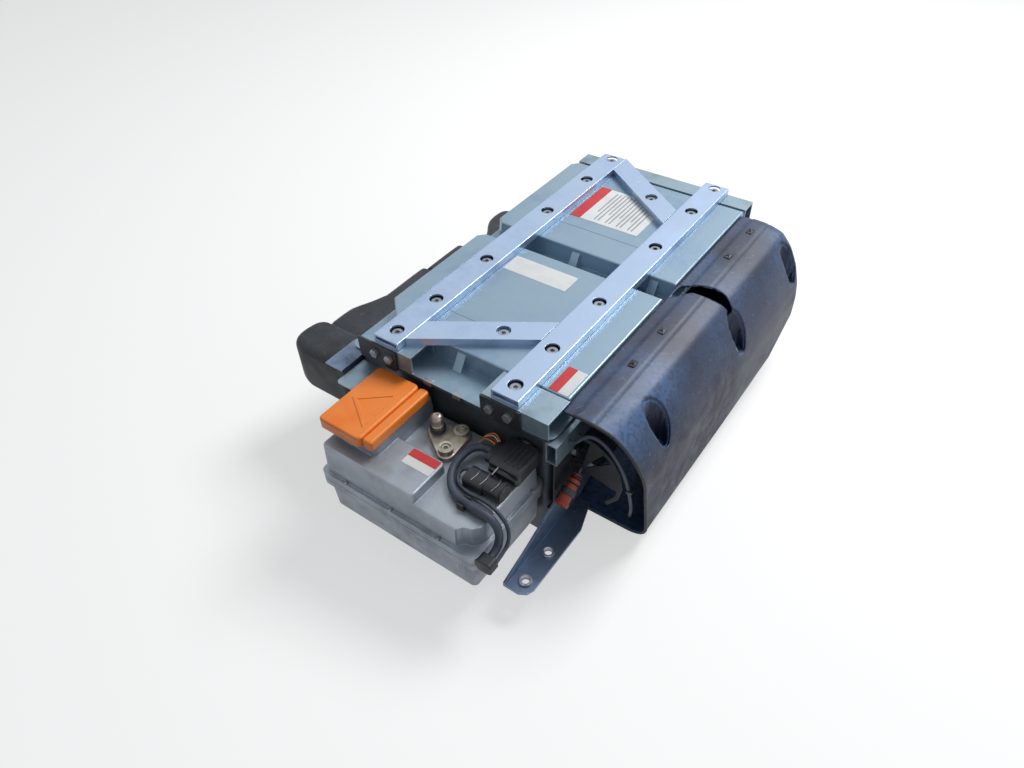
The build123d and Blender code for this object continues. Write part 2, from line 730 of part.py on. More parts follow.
def notch(growth):
    """The stepped-in front right corner, over the flange, grown by a wall or by nothing."""
    with BuildPart() as made:
        with BuildSketch(Plane.XY.offset(lid_walls - growth)):
            Polygon(*notch_corners, align=None)
            if growth:
                offset(amount=growth)
        extrude(amount=lid_level)
    return made.part


with BuildPart() as lid_hollow:
    for right, front, rear, level in lid_parts:
        with BuildSketch(Plane.XY.offset(lid_base)):
            add(box_plan(box_flange + cast_wall, right, front, rear - cast_wall, box_radius - 3))
        extrude(amount=level - lid_base - cast_wall, taper=cast_taper)
    add(notch(cast_wall), mode=Mode.SUBTRACT)

with BuildPart() as box_lid:
    with BuildSketch(Plane.XY.offset(lid_base)):
        add(box_plan(0))
    extrude(amount=lid_walls - lid_base)
    for block in lid_parts:
        add(lid_block(*block))
    add(notch(0), mode=Mode.SUBTRACT)
    add(lid_hollow.part, mode=Mode.SUBTRACT)
save(box_lid.part, "box_lid")

box_screw_radius = 2.4
box_screw_places = ((box_left + 2.6, -330.0), (box_left + 2.6, -262.0), (box_right - 2.6, -318.0),
                    (box_right - 2.6, -262.0), (-60.0, box_front + 2.6), (20.0, box_front + 2.6),
                    (100.0, box_front + 2.6))
with BuildPart() as box_screws:
    for x, y in box_screw_places:
        with BuildSketch(Plane.XY.offset(lid_walls)):
            with Locations((x, y)):
                Circle(box_screw_radius)
        extrude(amount=2.5)
save(box_screws.part, "box_screws")

# ---------------------------------------------------------------- service cover and plug
cap_sheet = 2.5
cap_height = 16.0
cap_front = -372.0
cap_rear = -250.0
cap_left = -111.0
cap_right = -37.0
strip_cap_right = -20.0
cap_gap = 1.0
cap_top = lid_block_level + cap_height


def cap(left, right, front, rear, height, radius):
    """A moulded cap, open underneath, with a rounded top edge."""
    with BuildPart() as made:
        for inset, top in ((0, height), (cap_sheet, height - cap_sheet)):
            with BuildSketch(Plane.XY.offset(lid_block_level)):
                with Locations(((left + right) / 2, (front + rear) / 2)):
                    RectangleRounded(right - left - 2 * inset, rear - front - 2 * inset, radius - inset)
            extrude(amount=top, mode=Mode.SUBTRACT if inset else Mode.ADD)
            if not inset:
                fillet(made.faces().sort_by(Axis.Z)[-1].edges(), 3.5)
    return made.part


with BuildPart() as service_cover:
    add(cap(cap_left, cap_right, cap_front, cap_rear, cap_height, 8))
    # A raised triangle stiffens the top.
    with BuildSketch(Plane.XY.offset(cap_top)):
        Polygon((-98, -318), (-48, -276), (-48, -352), align=None)
        offset(amount=-5, mode=Mode.SUBTRACT)
    extrude(amount=0.8)
save(service_cover.part, "service_cover")
save(cap(cap_right + cap_gap, strip_cap_right, cap_front + 4, cap_rear, cap_height - 1.5, 5),
     "service_cover_strip")

with BuildPart() as service_socket:
    with BuildSketch(Plane.XY.offset(lid_block_level)):
        with Locations((-68, -310)):
            RectangleRounded(44, 70, 6)
    extrude(amount=5)
save(service_socket.part, "service_socket")

with BuildPart() as service_plug:
    with BuildSketch(Plane.XY.offset(lid_block_level + 5)):
        with Locations((-68, -310)):
            RectangleRounded(34, 58, 5)
    extrude(amount=4)
    with BuildSketch(Plane.XY.offset(lid_block_level + 9)):
        with Locations((-68, -310)):
            RectangleRounded(12, 44, 3)
    extrude(amount=4)
    fillet(service_plug.faces().sort_by(Axis.Z)[-1].edges(), 1.5)
save(service_plug.part, "service_plug")

# ---------------------------------------------------------------- terminals
terminal_places = ((40.0, -261.0), (42.0, -297.0))
knob_place = (8.0, -272.0)
terminal_plate_height = 7.0
terminal_stud_height = 9.0
terminal_level = lid_level + terminal_plate_height

with BuildPart() as terminal_plate:
    with BuildSketch(Plane.XY.offset(lid_level)):
        with Locations(knob_place):
            Circle(15)
        with Locations(terminal_places):
            Circle(13)
        make_hull()
    extrude(amount=terminal_plate_height)
    fillet(terminal_plate.faces().sort_by(Axis.Z)[-1].edges(), 2)
    with BuildSketch(Plane.XY.offset(terminal_level)):
        with Locations(terminal_places):
            Circle(10.5)
            Circle(6.5, mode=Mode.SUBTRACT)
    extrude(amount=terminal_stud_height)
save(terminal_plate.part, "terminal_plate")

with BuildPart() as terminal_screws:
    with Locations([(x, y, terminal_level) for x, y in terminal_places]):
        Cylinder(6, terminal_stud_height - 1.5, align=(Align.CENTER, Align.CENTER, Align.MIN))
    with BuildSketch(Plane.XY.offset(terminal_level + terminal_stud_height - 1.5)):
        with Locations(terminal_places):
            RegularPolygon(3.4, 6)
    extrude(amount=-4, mode=Mode.SUBTRACT)
save(terminal_screws.part, "terminal_screws")

with BuildPart() as terminal_collar:
    with BuildSketch(Plane.XY.offset(terminal_level)):
        with Locations(knob_place):
            Circle(11)
    extrude(amount=9)
    chamfer(terminal_collar.faces().sort_by(Axis.Z)[-1].edges(), 1.5)
save(terminal_collar.part, "terminal_collar")

with BuildPart() as terminal_knob:
    with BuildSketch(Plane.XZ.offset(-knob_place[1])):
        with BuildLine():
            Polyline((knob_place[0], terminal_level + 9), (knob_place[0] + 9, terminal_level + 9),
                     (knob_place[0] + 9, terminal_level + 11), (knob_place[0] + 7.5, terminal_level + 12),
                     (knob_place[0] + 9.5, terminal_level + 13.5), (knob_place[0] + 9.5, terminal_level + 20))
            Spline((knob_place[0] + 9.5, terminal_level + 20), (knob_place[0] + 7.5, terminal_level + 25.5),
                   (knob_place[0] + 3, terminal_level + 28), tangents=((0, 1), (-1, 0)))
            Polyline((knob_place[0] + 3, terminal_level + 28), (knob_place[0] + 2, terminal_level + 26),
                     (knob_place[0], terminal_level + 26), (knob_place[0], terminal_level + 9))
        make_face()
    revolve(axis=Axis((*knob_place, 0), (0, 0, 1)))
save(terminal_knob.part, "terminal_knob")

# ---------------------------------------------------------------- connectors on the lid
main_left = 107.0
main_right = 156.0
main_front = -293.0
main_rear = -240.0
main_top = 178.0

with BuildPart() as main_connector:
    with BuildSketch(Plane.XY.offset(lid_level)):
        with Locations(((main_left + main_right) / 2, (main_front + main_rear) / 2)):
            RectangleRounded(main_right - main_left - 8, main_rear - main_front - 6, 4)
    extrude(amount=9)
    with BuildSketch(Plane.XY.offset(lid_level + 9)):
        with Locations(((main_left + main_right) / 2, (main_front + main_rear) / 2)):
            RectangleRounded(main_right - main_left, main_rear - main_front, 6)
    extrude(amount=main_top - lid_level - 9)
    chamfer(main_connector.faces().sort_by(Axis.Z)[-1].edges(), 2.5)
    # The hood over the wires leans over its left end.
    with BuildSketch(Plane.YZ.offset(main_left - 8)):
        with Locations(((main_front + main_rear) / 2 - 4, lid_level + 17)):
            SlotOverall(34, 17)
    extrude(amount=14)
    # Finger ribs cross the top.
    with BuildSketch(Plane.XY.offset(main_top)):
        with Locations(((main_left + main_right) / 2 + 6, (main_front + main_rear) / 2)):
            with GridLocations(7, 1, 4, 1):
                RectangleRounded(2.4, 34, 1)
    extrude(amount=1.5)
save(main_connector.part, "main_connector")

second_left = 92.0
second_right = 150.0
second_front = -327.0
second_rear = -299.0
second_top = 168.0
with BuildPart() as second_connector:
    with BuildSketch(Plane.YZ.offset(second_left)):
        with Locations(((second_front + second_rear) / 2, lid_level)):
            Rectangle(second_rear - second_front, second_top - lid_level - 6, align=(Align.CENTER, Align.MIN))
        with Locations(((second_front + second_rear) / 2, second_top - 8)):
            SlotOverall(second_rear - second_front, 16)
    extrude(amount=30)
    with BuildSketch(Plane.YZ.offset(second_left + 30)):
        with Locations(((second_front + second_rear) / 2, lid_level + 9)):
            SlotOverall(second_rear - second_front - 3, 18)
    extrude(amount=second_right - second_left - 30)
    with BuildSketch(Plane.YZ.offset(second_right - 8)):
        with Locations(((second_front + second_rear) / 2, lid_level + 10)):
            SlotOverall(second_rear - second_front, 20)
    extrude(amount=5)
save(second_connector.part, "second_connector")


# ---------------------------------------------------------------- leads
def lead(name, points, diameter):
    """A round lead along straight runs and tangent arcs, as large as its runs allow."""
    points = [Vector(*point) for point in points]
    radii = []
    for before, here, after in zip(points, points[1:], points[2:]):
        run = min((here - before).length, (after - here).length)
        turn = (here - before).get_angle(after - here)
        radii.append(0.45 * run / tan(radians(turn) / 2))
    print(name, "radii", [round(radius, 1) for radius in radii])
    with BuildPart() as made:
        with BuildLine() as path:
            FilletPolyline(*points, radius=radii)
        with BuildSketch(Plane(origin=points[0], z_dir=points[1] - points[0])):
            Circle(diameter / 2)
        sweep(path=path.wires()[0])
    print(name, "length", round(path.wires()[0].length, 1),
          "volume ratio", round(made.part.volume / (path.wires()[0].length * 3.14159265 * diameter ** 2 / 4), 4))
    return made.part


harness_diameter = 11.0
harness_route = ((99, -268, 165), (83, -268, 165), (71, -277, 164), (67, -292, 162), (67, -309, 160),
                 (73, -326, 158.5), (86, -341, 158), (103, -349, 158), (122, -351, 158), (141, -352, 159),
                 (157, -352, 157), (166, -351, 143), (168, -352, 125), (168, -360, 110), (168, -374, 110))
save(lead("harness", harness_route, harness_diameter), "harness")

thin_diameter = 5.0
thin_lead_route = ((92, -307, 161), (84, -307, 161), (79, -315, 159), (82, -325, 156), (93, -332, 155),
                   (110, -335, 155), (129, -334, 156), (146, -336, 157), (160, -338, 152), (172, -340, 141),
                   (178, -345, 126), (178, -355, 113), (178, -374, 110))
save(lead("thin_lead", thin_lead_route, thin_diameter), "thin_lead")

plug_front = -390.0
plug_rear = -374.6
with BuildPart() as harness_plug:
    with BuildSketch(Plane.XZ.offset(-plug_rear)):
        with Locations(((box_right + 181) / 2, 110)):
            RectangleRounded(181 - box_right, 19, 5)
    extrude(amount=plug_rear - plug_front)
    chamfer(harness_plug.faces().sort_by(Axis.Y)[0].edges(), 1.5)
save(harness_plug.part, "harness_plug")

clip_x = 108.0
with BuildPart() as harness_clip:
    with BuildSketch(Plane.YZ.offset(clip_x)):
        with Locations((-350.2, lid_level)):
            Rectangle(17, 2.2, align=(Align.CENTER, Align.MIN))
        with Locations((-350.2 - 7.5, lid_level), (-350.2 + 7.5, lid_level)):
            Rectangle(2, 10, align=(Align.CENTER, Align.MIN))
    extrude(amount=10)
save(harness_clip.part, "harness_clip")

with BuildPart() as cable_gland:
    with BuildSketch(Plane.YZ.offset(box_left + box_flange - wall_gap)):
        with Locations(gland_place):
            Circle(gland_radius)
    extrude(amount=7)
    with BuildSketch(Plane.YZ.offset(box_left + box_flange - wall_gap)):
        with Locations(gland_place):
            RegularPolygon(13, 6)
    extrude(amount=-5)
    with BuildSketch(Plane.YZ.offset(box_left + box_flange - wall_gap - 5)):
        with Locations(gland_place):
            Circle(9.5)
    extrude(amount=-8, taper=8)
    with BuildSketch(Plane.YZ.offset(box_left - 40)):
        with Locations(gland_place):
            Circle(5)
    extrude(amount=38, mode=Mode.SUBTRACT)
save(cable_gland.part, "cable_gland")

# ---------------------------------------------------------------- sensor connector at the duct's mouth
sensor_rear = Vector(192, -209, 123)
sensor_front = Vector(192, -251, 101)
sensor_axis = (sensor_rear - sensor_front).normalized()
sensor_length = (sensor_rear - sensor_front).length
sensor_radius = 8.5

with BuildPart() as sensor_connector:
    for start, end, radius in ((0, 6, 9.4), (6, 30, sensor_radius), (30, 36, 7.4), (36, 39, 8.8),
                               (39, sensor_length, 6.4)):
        with BuildSketch(Plane(origin=sensor_front + sensor_axis * start, z_dir=sensor_axis)):
            Circle(radius)
        extrude(amount=end - start)
    with BuildSketch(Plane(origin=sensor_front, z_dir=sensor_axis)):
        Circle(6.6)
    extrude(amount=10, mode=Mode.SUBTRACT)
save(sensor_connector.part, "sensor_connector")

sensor_clip_at = sensor_front + sensor_axis * 16
with BuildPart() as sensor_clip:
    with BuildSketch(Plane(origin=sensor_clip_at, x_dir=(1, 0, 0), z_dir=sensor_axis)):
        Circle(sensor_radius + 2.3)
        with Locations((0, 0)):
            Rectangle(sensor_clip_at.X - panel_outer, 8, align=(Align.MAX, Align.CENTER))
        Circle(sensor_radius + 0.2, mode=Mode.SUBTRACT)
    extrude(amount=9)
save(sensor_clip.part, "sensor_clip")

sensor_lead_route = (sensor_rear, sensor_rear + sensor_axis * 20, (187, -177, 135), (panel_outer, -177, 135))
save(lead("sensor_lead", sensor_lead_route, thin_diameter), "sensor_lead")

duct_lead_route = ((side_rail_outer, -217, 189), (190, -217, 189), (199, -214, 203), (213, -212, 212),
                   (230, -211, 206), (244, -209, 189), (254, -206, 168), (260, -202, 144), (263, -195, 112),
                   (263, -186, 78), (258, -176, 50), (252, -165, 34), (250, -158, 20.8))
save(lead("duct_lead", duct_lead_route, thin_diameter), "duct_lead")

tie_at = (Vector(260, -202, 144) + Vector(263, -195, 112)) * 0.5
tie_axis = (Vector(263, -195, 112) - Vector(260, -202, 144)).normalized()
with BuildPart() as lead_tie:
    with BuildSketch(Plane(origin=tie_at, x_dir=(0, 1, 0), z_dir=tie_axis)):
        Circle(thin_diameter / 2 + 1.6)
        with Locations((0, 4)):
            Rectangle(6, 5)
        Circle(thin_diameter / 2 + 0.05, mode=Mode.SUBTRACT)
    extrude(amount=4)
save(lead_tie.part, "lead_tie")

# ---------------------------------------------------------------- cell stacks inside the tray
floor_level = sheet
runner_height = 12.0
runner_x = 120.0
stack_count = 4
modules_per_stack = 6
module_thickness = 20.6
module_gap = 2.0
module_width = 292.0
module_height = 168.0
end_plate_thickness = 3.0
stack_gap = 7.0
post_radius = 5.0
post_height = 5.0
tie_bar_sheet = 2.0
tie_bar_height = 18.0
module_pitch = module_thickness + module_gap
stack_length = modules_per_stack * module_pitch - module_gap + 2 * end_plate_thickness
stack_pitch = stack_length + stack_gap
stack_start = tray_mid_y - (stack_count * stack_pitch - stack_gap) / 2
module_base = floor_level + runner_height
module_top = module_base + module_height
post_x = module_width / 2 - 22
tie_bar_x = module_width / 2 + wall_gap + tie_bar_sheet / 2
tie_bar_places = [(x, z) for x in (-tie_bar_x, tie_bar_x) for z in (module_base + 20, module_top - 20)]

with BuildPart() as cell_runners:
    with BuildSketch(Plane.XY.offset(floor_level)):
        with Locations((-runner_x, tray_mid_y), (runner_x, tray_mid_y)):
            Rectangle(18, tray_length - 2 * sheet - 12)
    extrude(amount=runner_height)
save(cell_runners.part, "cell_runners")


def module_rows(stack):
    """The front faces' places of one stack's modules along Y."""
    first = stack_start + stack * stack_pitch + end_plate_thickness
    return [first + row * module_pitch for row in range(modules_per_stack)]


stack_halves = (("front_cell_stacks", (0, 1)), ("rear_cell_stacks", (2, 3)))
for name, stacks in stack_halves:
    with BuildPart() as cells:
        for y in [row for stack in stacks for row in module_rows(stack)]:
            with BuildSketch(Plane.XZ.offset(-y)):
                with Locations((0, module_base)):
                    Rectangle(module_width, module_height, align=(Align.CENTER, Align.MIN))
            extrude(amount=-module_thickness)
            with BuildSketch(Plane.XY.offset(module_top)):
                with Locations((-post_x, y + module_thickness / 2), (post_x, y + module_thickness / 2)):
                    RegularPolygon(post_radius, 8)
            extrude(amount=post_height)
    save(cells.part, name)

end_plate_rows = [stack_start + stack * stack_pitch + side * (stack_length - end_plate_thickness)
                  for stack in range(stack_count) for side in (0, 1)]
with BuildPart() as stack_end_plates:
    for y in end_plate_rows:
        with BuildSketch(Plane.XZ.offset(-y)):
            with Locations((0, module_base)):
                Rectangle(2 * tie_bar_x + tie_bar_sheet, module_height, align=(Align.CENTER, Align.MIN))
        extrude(amount=-end_plate_thickness)
save(stack_end_plates.part, "stack_end_plates")

with BuildPart() as tie_bars:
    for stack in range(stack_count):
        with BuildSketch(Plane.XZ.offset(-(stack_start + stack * stack_pitch + end_plate_thickness))):
            with Locations(tie_bar_places):
                Rectangle(tie_bar_sheet, tie_bar_height)
        extrude(amount=-(stack_length - 2 * end_plate_thickness))
save(tie_bars.part, "tie_bars")

bar_height = 2.0
with BuildPart() as module_busbars:
    for stack in range(stack_count):
        rows = [y + module_thickness / 2 for y in module_rows(stack)]
        for pair, (first, second) in enumerate(zip(rows, rows[1:])):
            side = post_x if pair % 2 else -post_x
            with BuildSketch(Plane.XY.offset(module_top + post_height)):
                with Locations((side, (first + second) / 2)):
                    RectangleRounded(12, second - first + 10, 2)
            extrude(amount=bar_height)
save(module_busbars.part, "module_busbars")

# ---------------------------------------------------------------- inside the electronics box
with BuildPart() as contactors:
    with Locations((-66, -340, box_floor), (-16, -340, box_floor)):
        Cylinder(19, 58, align=(Align.CENTER, Align.CENTER, Align.MIN))
        Cylinder(22, 4, align=(Align.CENTER, Align.CENTER, Align.MIN))
save(contactors.part, "contactors")

with BuildPart() as main_fuse:
    with BuildSketch(Plane.XZ.offset(300)):
        with Locations((-66, box_floor + 16)):
            Circle(12)
    extrude(amount=-44)
    with BuildSketch(Plane.XY.offset(box_floor)):
        with Locations((-66, -294), (-66, -262)):
            Rectangle(20, 6)
    extrude(amount=10)
save(main_fuse.part, "main_fuse")

with BuildPart() as current_sensor:
    with BuildSketch(Plane.XZ.offset(290)):
        with Locations((-14, box_floor)):
            Rectangle(36, 44, align=(Align.CENTER, Align.MIN))
        with Locations((-14, box_floor + 26)):
            Circle(10, mode=Mode.SUBTRACT)
    extrude(amount=-14)
save(current_sensor.part, "current_sensor")

with BuildPart() as precharge_resistor:
    with BuildSketch(Plane.XZ.offset(272)):
        with Locations((-14, box_floor)):
            Rectangle(20, 14, align=(Align.CENTER, Align.MIN))
            Rectangle(30, 3, align=(Align.CENTER, Align.MIN))
    extrude(amount=-18)
save(precharge_resistor.part, "precharge_resistor")

with BuildPart() as controller_board:
    with BuildSketch(Plane.XY.offset(board_level)):
        with Locations((83, -314)):
            RectangleRounded(118, 116, 4)
    extrude(amount=2)
    with BuildSketch(Plane.XY.offset(board_level + 2)):
        with Locations((60, -340), (104, -338), (62, -290), (108, -288)):
            Rectangle(26, 24)
    extrude(amount=9)
save(controller_board.part, "controller_board")
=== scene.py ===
"""Dresses the traction battery module of a hybrid vehicle.

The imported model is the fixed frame. This script gives every piece its finish, replaces the moulded
ducts and the leads with smooth surfaces, adds the stickers, wires, clips and pressed lines that are
too fine for the solids, and sets the studio and the camera.
"""

import logging
import math
from collections.abc import Iterable, Sequence
from dataclasses import dataclass, field
from enum import Enum

import bmesh
import bpy
import numpy as np
from mathutils import Matrix, Vector


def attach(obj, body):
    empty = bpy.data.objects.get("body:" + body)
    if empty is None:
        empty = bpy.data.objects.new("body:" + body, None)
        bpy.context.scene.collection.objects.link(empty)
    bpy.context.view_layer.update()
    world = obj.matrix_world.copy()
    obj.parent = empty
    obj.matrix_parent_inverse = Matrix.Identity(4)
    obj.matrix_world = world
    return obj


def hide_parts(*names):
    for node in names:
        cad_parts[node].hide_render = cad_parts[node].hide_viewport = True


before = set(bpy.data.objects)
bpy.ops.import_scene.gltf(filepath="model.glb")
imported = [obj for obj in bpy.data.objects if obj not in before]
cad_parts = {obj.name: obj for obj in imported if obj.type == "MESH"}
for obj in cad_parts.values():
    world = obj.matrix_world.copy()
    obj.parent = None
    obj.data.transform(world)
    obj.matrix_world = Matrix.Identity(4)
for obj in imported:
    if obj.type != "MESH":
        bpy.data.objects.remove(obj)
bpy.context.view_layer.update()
log = logging.getLogger("battery_module")

MM = 0.001
BODY = "root"
MERGE_MM = 0.01
WHITE_LEVEL = 255


def srgb(red: int, green: int, blue: int) -> tuple[float, float, float]:
    """Turns a display colour of 0 to 255 into linear light.

    Args:
        red: Red level.
        green: Green level.
        blue: Blue level.

    Returns:
        The three linear levels from 0 to 1.
    """
    level = np.array((red, green, blue)) / WHITE_LEVEL
    linear = np.where(level <= 0.04045, level / 12.92, ((level + 0.055) / 1.055) ** 2.4)
    return tuple(float(value) for value in linear)


class Slot(Enum):
    """The record's material slots that new pieces take their finish from."""

    COVER = "cover_steel"
    STEEL = "screw_steel"
    SHROUD = "shroud_plastic"
    DUCT = "duct_plastic"
    BLACK = "black_plastic"
    SLEEVE = "harness_sleeve"
    RED = "red_plastic"
    CAST = "cast_aluminium"


# ---------------------------------------------------------------- node groups
class Group:
    """A shader node group under construction, with short ways to add and link its nodes."""

    def __init__(self, name: str, inputs: Sequence[tuple[str, float]], outputs: Sequence[str]) -> None:
        """Makes the group's tree and its sockets.

        Args:
            name: The group's name.
            inputs: Name and default of each value input; a Vector input always comes first.
            outputs: Names of the value outputs.
        """
        self.tree = bpy.data.node_groups.new(name, "ShaderNodeTree")
        self.tree.interface.new_socket("Vector", in_out="INPUT", socket_type="NodeSocketVector")
        for label, default in inputs:
            socket = self.tree.interface.new_socket(label, in_out="INPUT", socket_type="NodeSocketFloat")
            socket.default_value = default
        for label in outputs:
            self.tree.interface.new_socket(label, in_out="OUTPUT", socket_type="NodeSocketFloat")
        self.start = self.tree.nodes.new("NodeGroupInput")
        self.end = self.tree.nodes.new("NodeGroupOutput")

    def add(self, kind: str, **settings: object) -> bpy.types.Node:
        """Adds a node and sets its properties."""
        made = self.tree.nodes.new(kind)
        for key, value in settings.items():
            setattr(made, key, value)
        return made

    def link(self, source: bpy.types.NodeSocket, target: bpy.types.NodeSocket) -> None:
        """Links two sockets."""
        self.tree.links.new(source, target)

    def math(self, operation: str, first: object, second: object = 0.0) -> bpy.types.NodeSocket:
        """Adds a clamped math node.

        Args:
            operation: Blender's name of the operation.
            first: A socket or a number.
            second: A socket or a number.

        Returns:
            The node's output socket.
        """
        made = self.add("ShaderNodeMath", operation=operation, use_clamp=True)
        for place, value in enumerate((first, second)):
            if isinstance(value, bpy.types.NodeSocket):
                self.link(value, made.inputs[place])
            else:
                made.inputs[place].default_value = value
        return made.outputs[0]

    def noise(self, scale: object, detail: float, vector: bpy.types.NodeSocket | None = None
              ) -> bpy.types.NodeSocket:
        """Adds a noise texture on the group's Vector.

        Args:
            scale: A socket or a number.
            detail: Octaves of detail.
            vector: Other coordinates to use.

        Returns:
            The noise value's socket.
        """
        made = self.add("ShaderNodeTexNoise")
        made.inputs["Detail"].default_value = detail
        self.link(vector or self.start.outputs["Vector"], made.inputs["Vector"])
        if isinstance(scale, bpy.types.NodeSocket):
            self.link(scale, made.inputs["Scale"])
        else:
            made.inputs["Scale"].default_value = scale
        return made.outputs[0]

    def ramp(self, value: bpy.types.NodeSocket, low: float, high: float) -> bpy.types.NodeSocket:
        """Maps low..high to 0..1 smoothly.

        Args:
            value: The socket to map.
            low: Value that becomes 0.
            high: Value that becomes 1.

        Returns:
            The mapped socket.
        """
        made = self.add("ShaderNodeMapRange", interpolation_type="SMOOTHSTEP")
        made.inputs["From Min"].default_value = low
        made.inputs["From Max"].default_value = high
        self.link(value, made.inputs["Value"])
        return made.outputs["Result"]


def edge_wear_and_highlight_group() -> bpy.types.NodeTree:
    """Finds edges: one less the dot product of the rounded and the true normal, broken by noise. The finishes
    lay a lighter colour there that is partly rubbed wear and partly a painted edge highlight.
    """
    group = Group("EdgeWearAndHighlight", (("Width", 0.001), ("Breakup", 60.0)), ("Mask",))
    bevel = group.add("ShaderNodeBevel", samples=4)
    group.link(group.start.outputs["Width"], bevel.inputs["Radius"])
    geometry = group.add("ShaderNodeNewGeometry")
    dot = group.add("ShaderNodeVectorMath", operation="DOT_PRODUCT")
    group.link(bevel.outputs["Normal"], dot.inputs[0])
    group.link(geometry.outputs["Normal"], dot.inputs[1])
    edge = group.ramp(dot.outputs["Value"], 0.995, 0.86)
    noise = group.ramp(group.noise(group.start.outputs["Breakup"], 3.0), 0.38, 0.62)
    group.link(group.math("MULTIPLY", edge, noise), group.end.inputs["Mask"])
    return group.tree


def patches_group() -> bpy.types.NodeTree:
    """Cloudy patches: two octaved noises multiplied, with soft borders."""
    group = Group("Patches", (("Scale", 8.0),), ("Mask",))
    wide = group.ramp(group.noise(group.start.outputs["Scale"], 5.0), 0.38, 0.66)
    fine = group.ramp(group.noise(45.0, 4.0), 0.2, 0.7)
    group.link(group.math("MULTIPLY", wide, fine), group.end.inputs["Mask"])
    return group.tree


def dust_and_sheen_group() -> bpy.types.NodeTree:
    """Faces that look up, in clouds of two sizes: where lying dust gathers, and where the bluish finishes
    take a painted sky sheen that makes tops lighter than sides.
    """
    group = Group("DustAndSheen", (("Scale", 9.0),), ("Mask",))
    geometry = group.add("ShaderNodeNewGeometry")
    parts = group.add("ShaderNodeSeparateXYZ")
    group.link(geometry.outputs["Normal"], parts.inputs[0])
    facing = group.ramp(parts.outputs["Z"], 0.05, 0.95)
    cloud = group.ramp(group.noise(group.start.outputs["Scale"], 6.0), 0.3, 0.68)
    speck = group.ramp(group.noise(160.0, 3.0), 0.3, 0.75)
    kept = group.math("MULTIPLY", cloud, group.math("ADD", speck, 0.45))
    group.link(group.math("MULTIPLY", facing, kept), group.end.inputs["Mask"])
    return group.tree


def scratches_group() -> bpy.types.NodeTree:
    """Thin scratches: noise on coordinates drawn out along one direction, kept only at its peaks."""
    group = Group("Scratches", (("Stretch", 0.06), ("Scale", 260.0)), ("Mask",))
    total = None
    for turn in (0.5, 2.1):
        mapping = group.add("ShaderNodeMapping")
        mapping.inputs["Rotation"].default_value = (0.3, 0.2, turn)
        group.link(group.start.outputs["Vector"], mapping.inputs["Vector"])
        scale = group.add("ShaderNodeCombineXYZ")
        scale.inputs["Y"].default_value = 1.0
        scale.inputs["Z"].default_value = 1.0
        group.link(group.start.outputs["Stretch"], scale.inputs["X"])
        drawn = group.add("ShaderNodeVectorMath", operation="MULTIPLY")
        group.link(mapping.outputs[0], drawn.inputs[0])
        group.link(scale.outputs[0], drawn.inputs[1])
        peak = group.ramp(group.noise(group.start.outputs["Scale"], 1.0, drawn.outputs[0]), 0.7, 0.76)
        total = peak if total is None else group.math("ADD", total, peak)
    group.link(total, group.end.inputs["Mask"])
    return group.tree


def grain_group() -> bpy.types.NodeTree:
    """A fine height field: small noise with a little wide waviness under it."""
    group = Group("Grain", (("Scale", 400.0), ("Wave", 20.0)), ("Height",))
    fine = group.noise(group.start.outputs["Scale"], 3.0)
    wide = group.noise(group.start.outputs["Wave"], 2.0)
    both = group.math("ADD", group.math("MULTIPLY", fine, 0.4), group.math("MULTIPLY", wide, 0.6))
    group.link(both, group.end.inputs["Height"])
    return group.tree


@dataclass
class Effects:
    """The shared node groups, each built once."""

    edge_wear_and_highlight: bpy.types.NodeTree = field(default_factory=edge_wear_and_highlight_group)
    patches: bpy.types.NodeTree = field(default_factory=patches_group)
    dust_and_sheen: bpy.types.NodeTree = field(default_factory=dust_and_sheen_group)
    scratches: bpy.types.NodeTree = field(default_factory=scratches_group)
    grain: bpy.types.NodeTree = field(default_factory=grain_group)


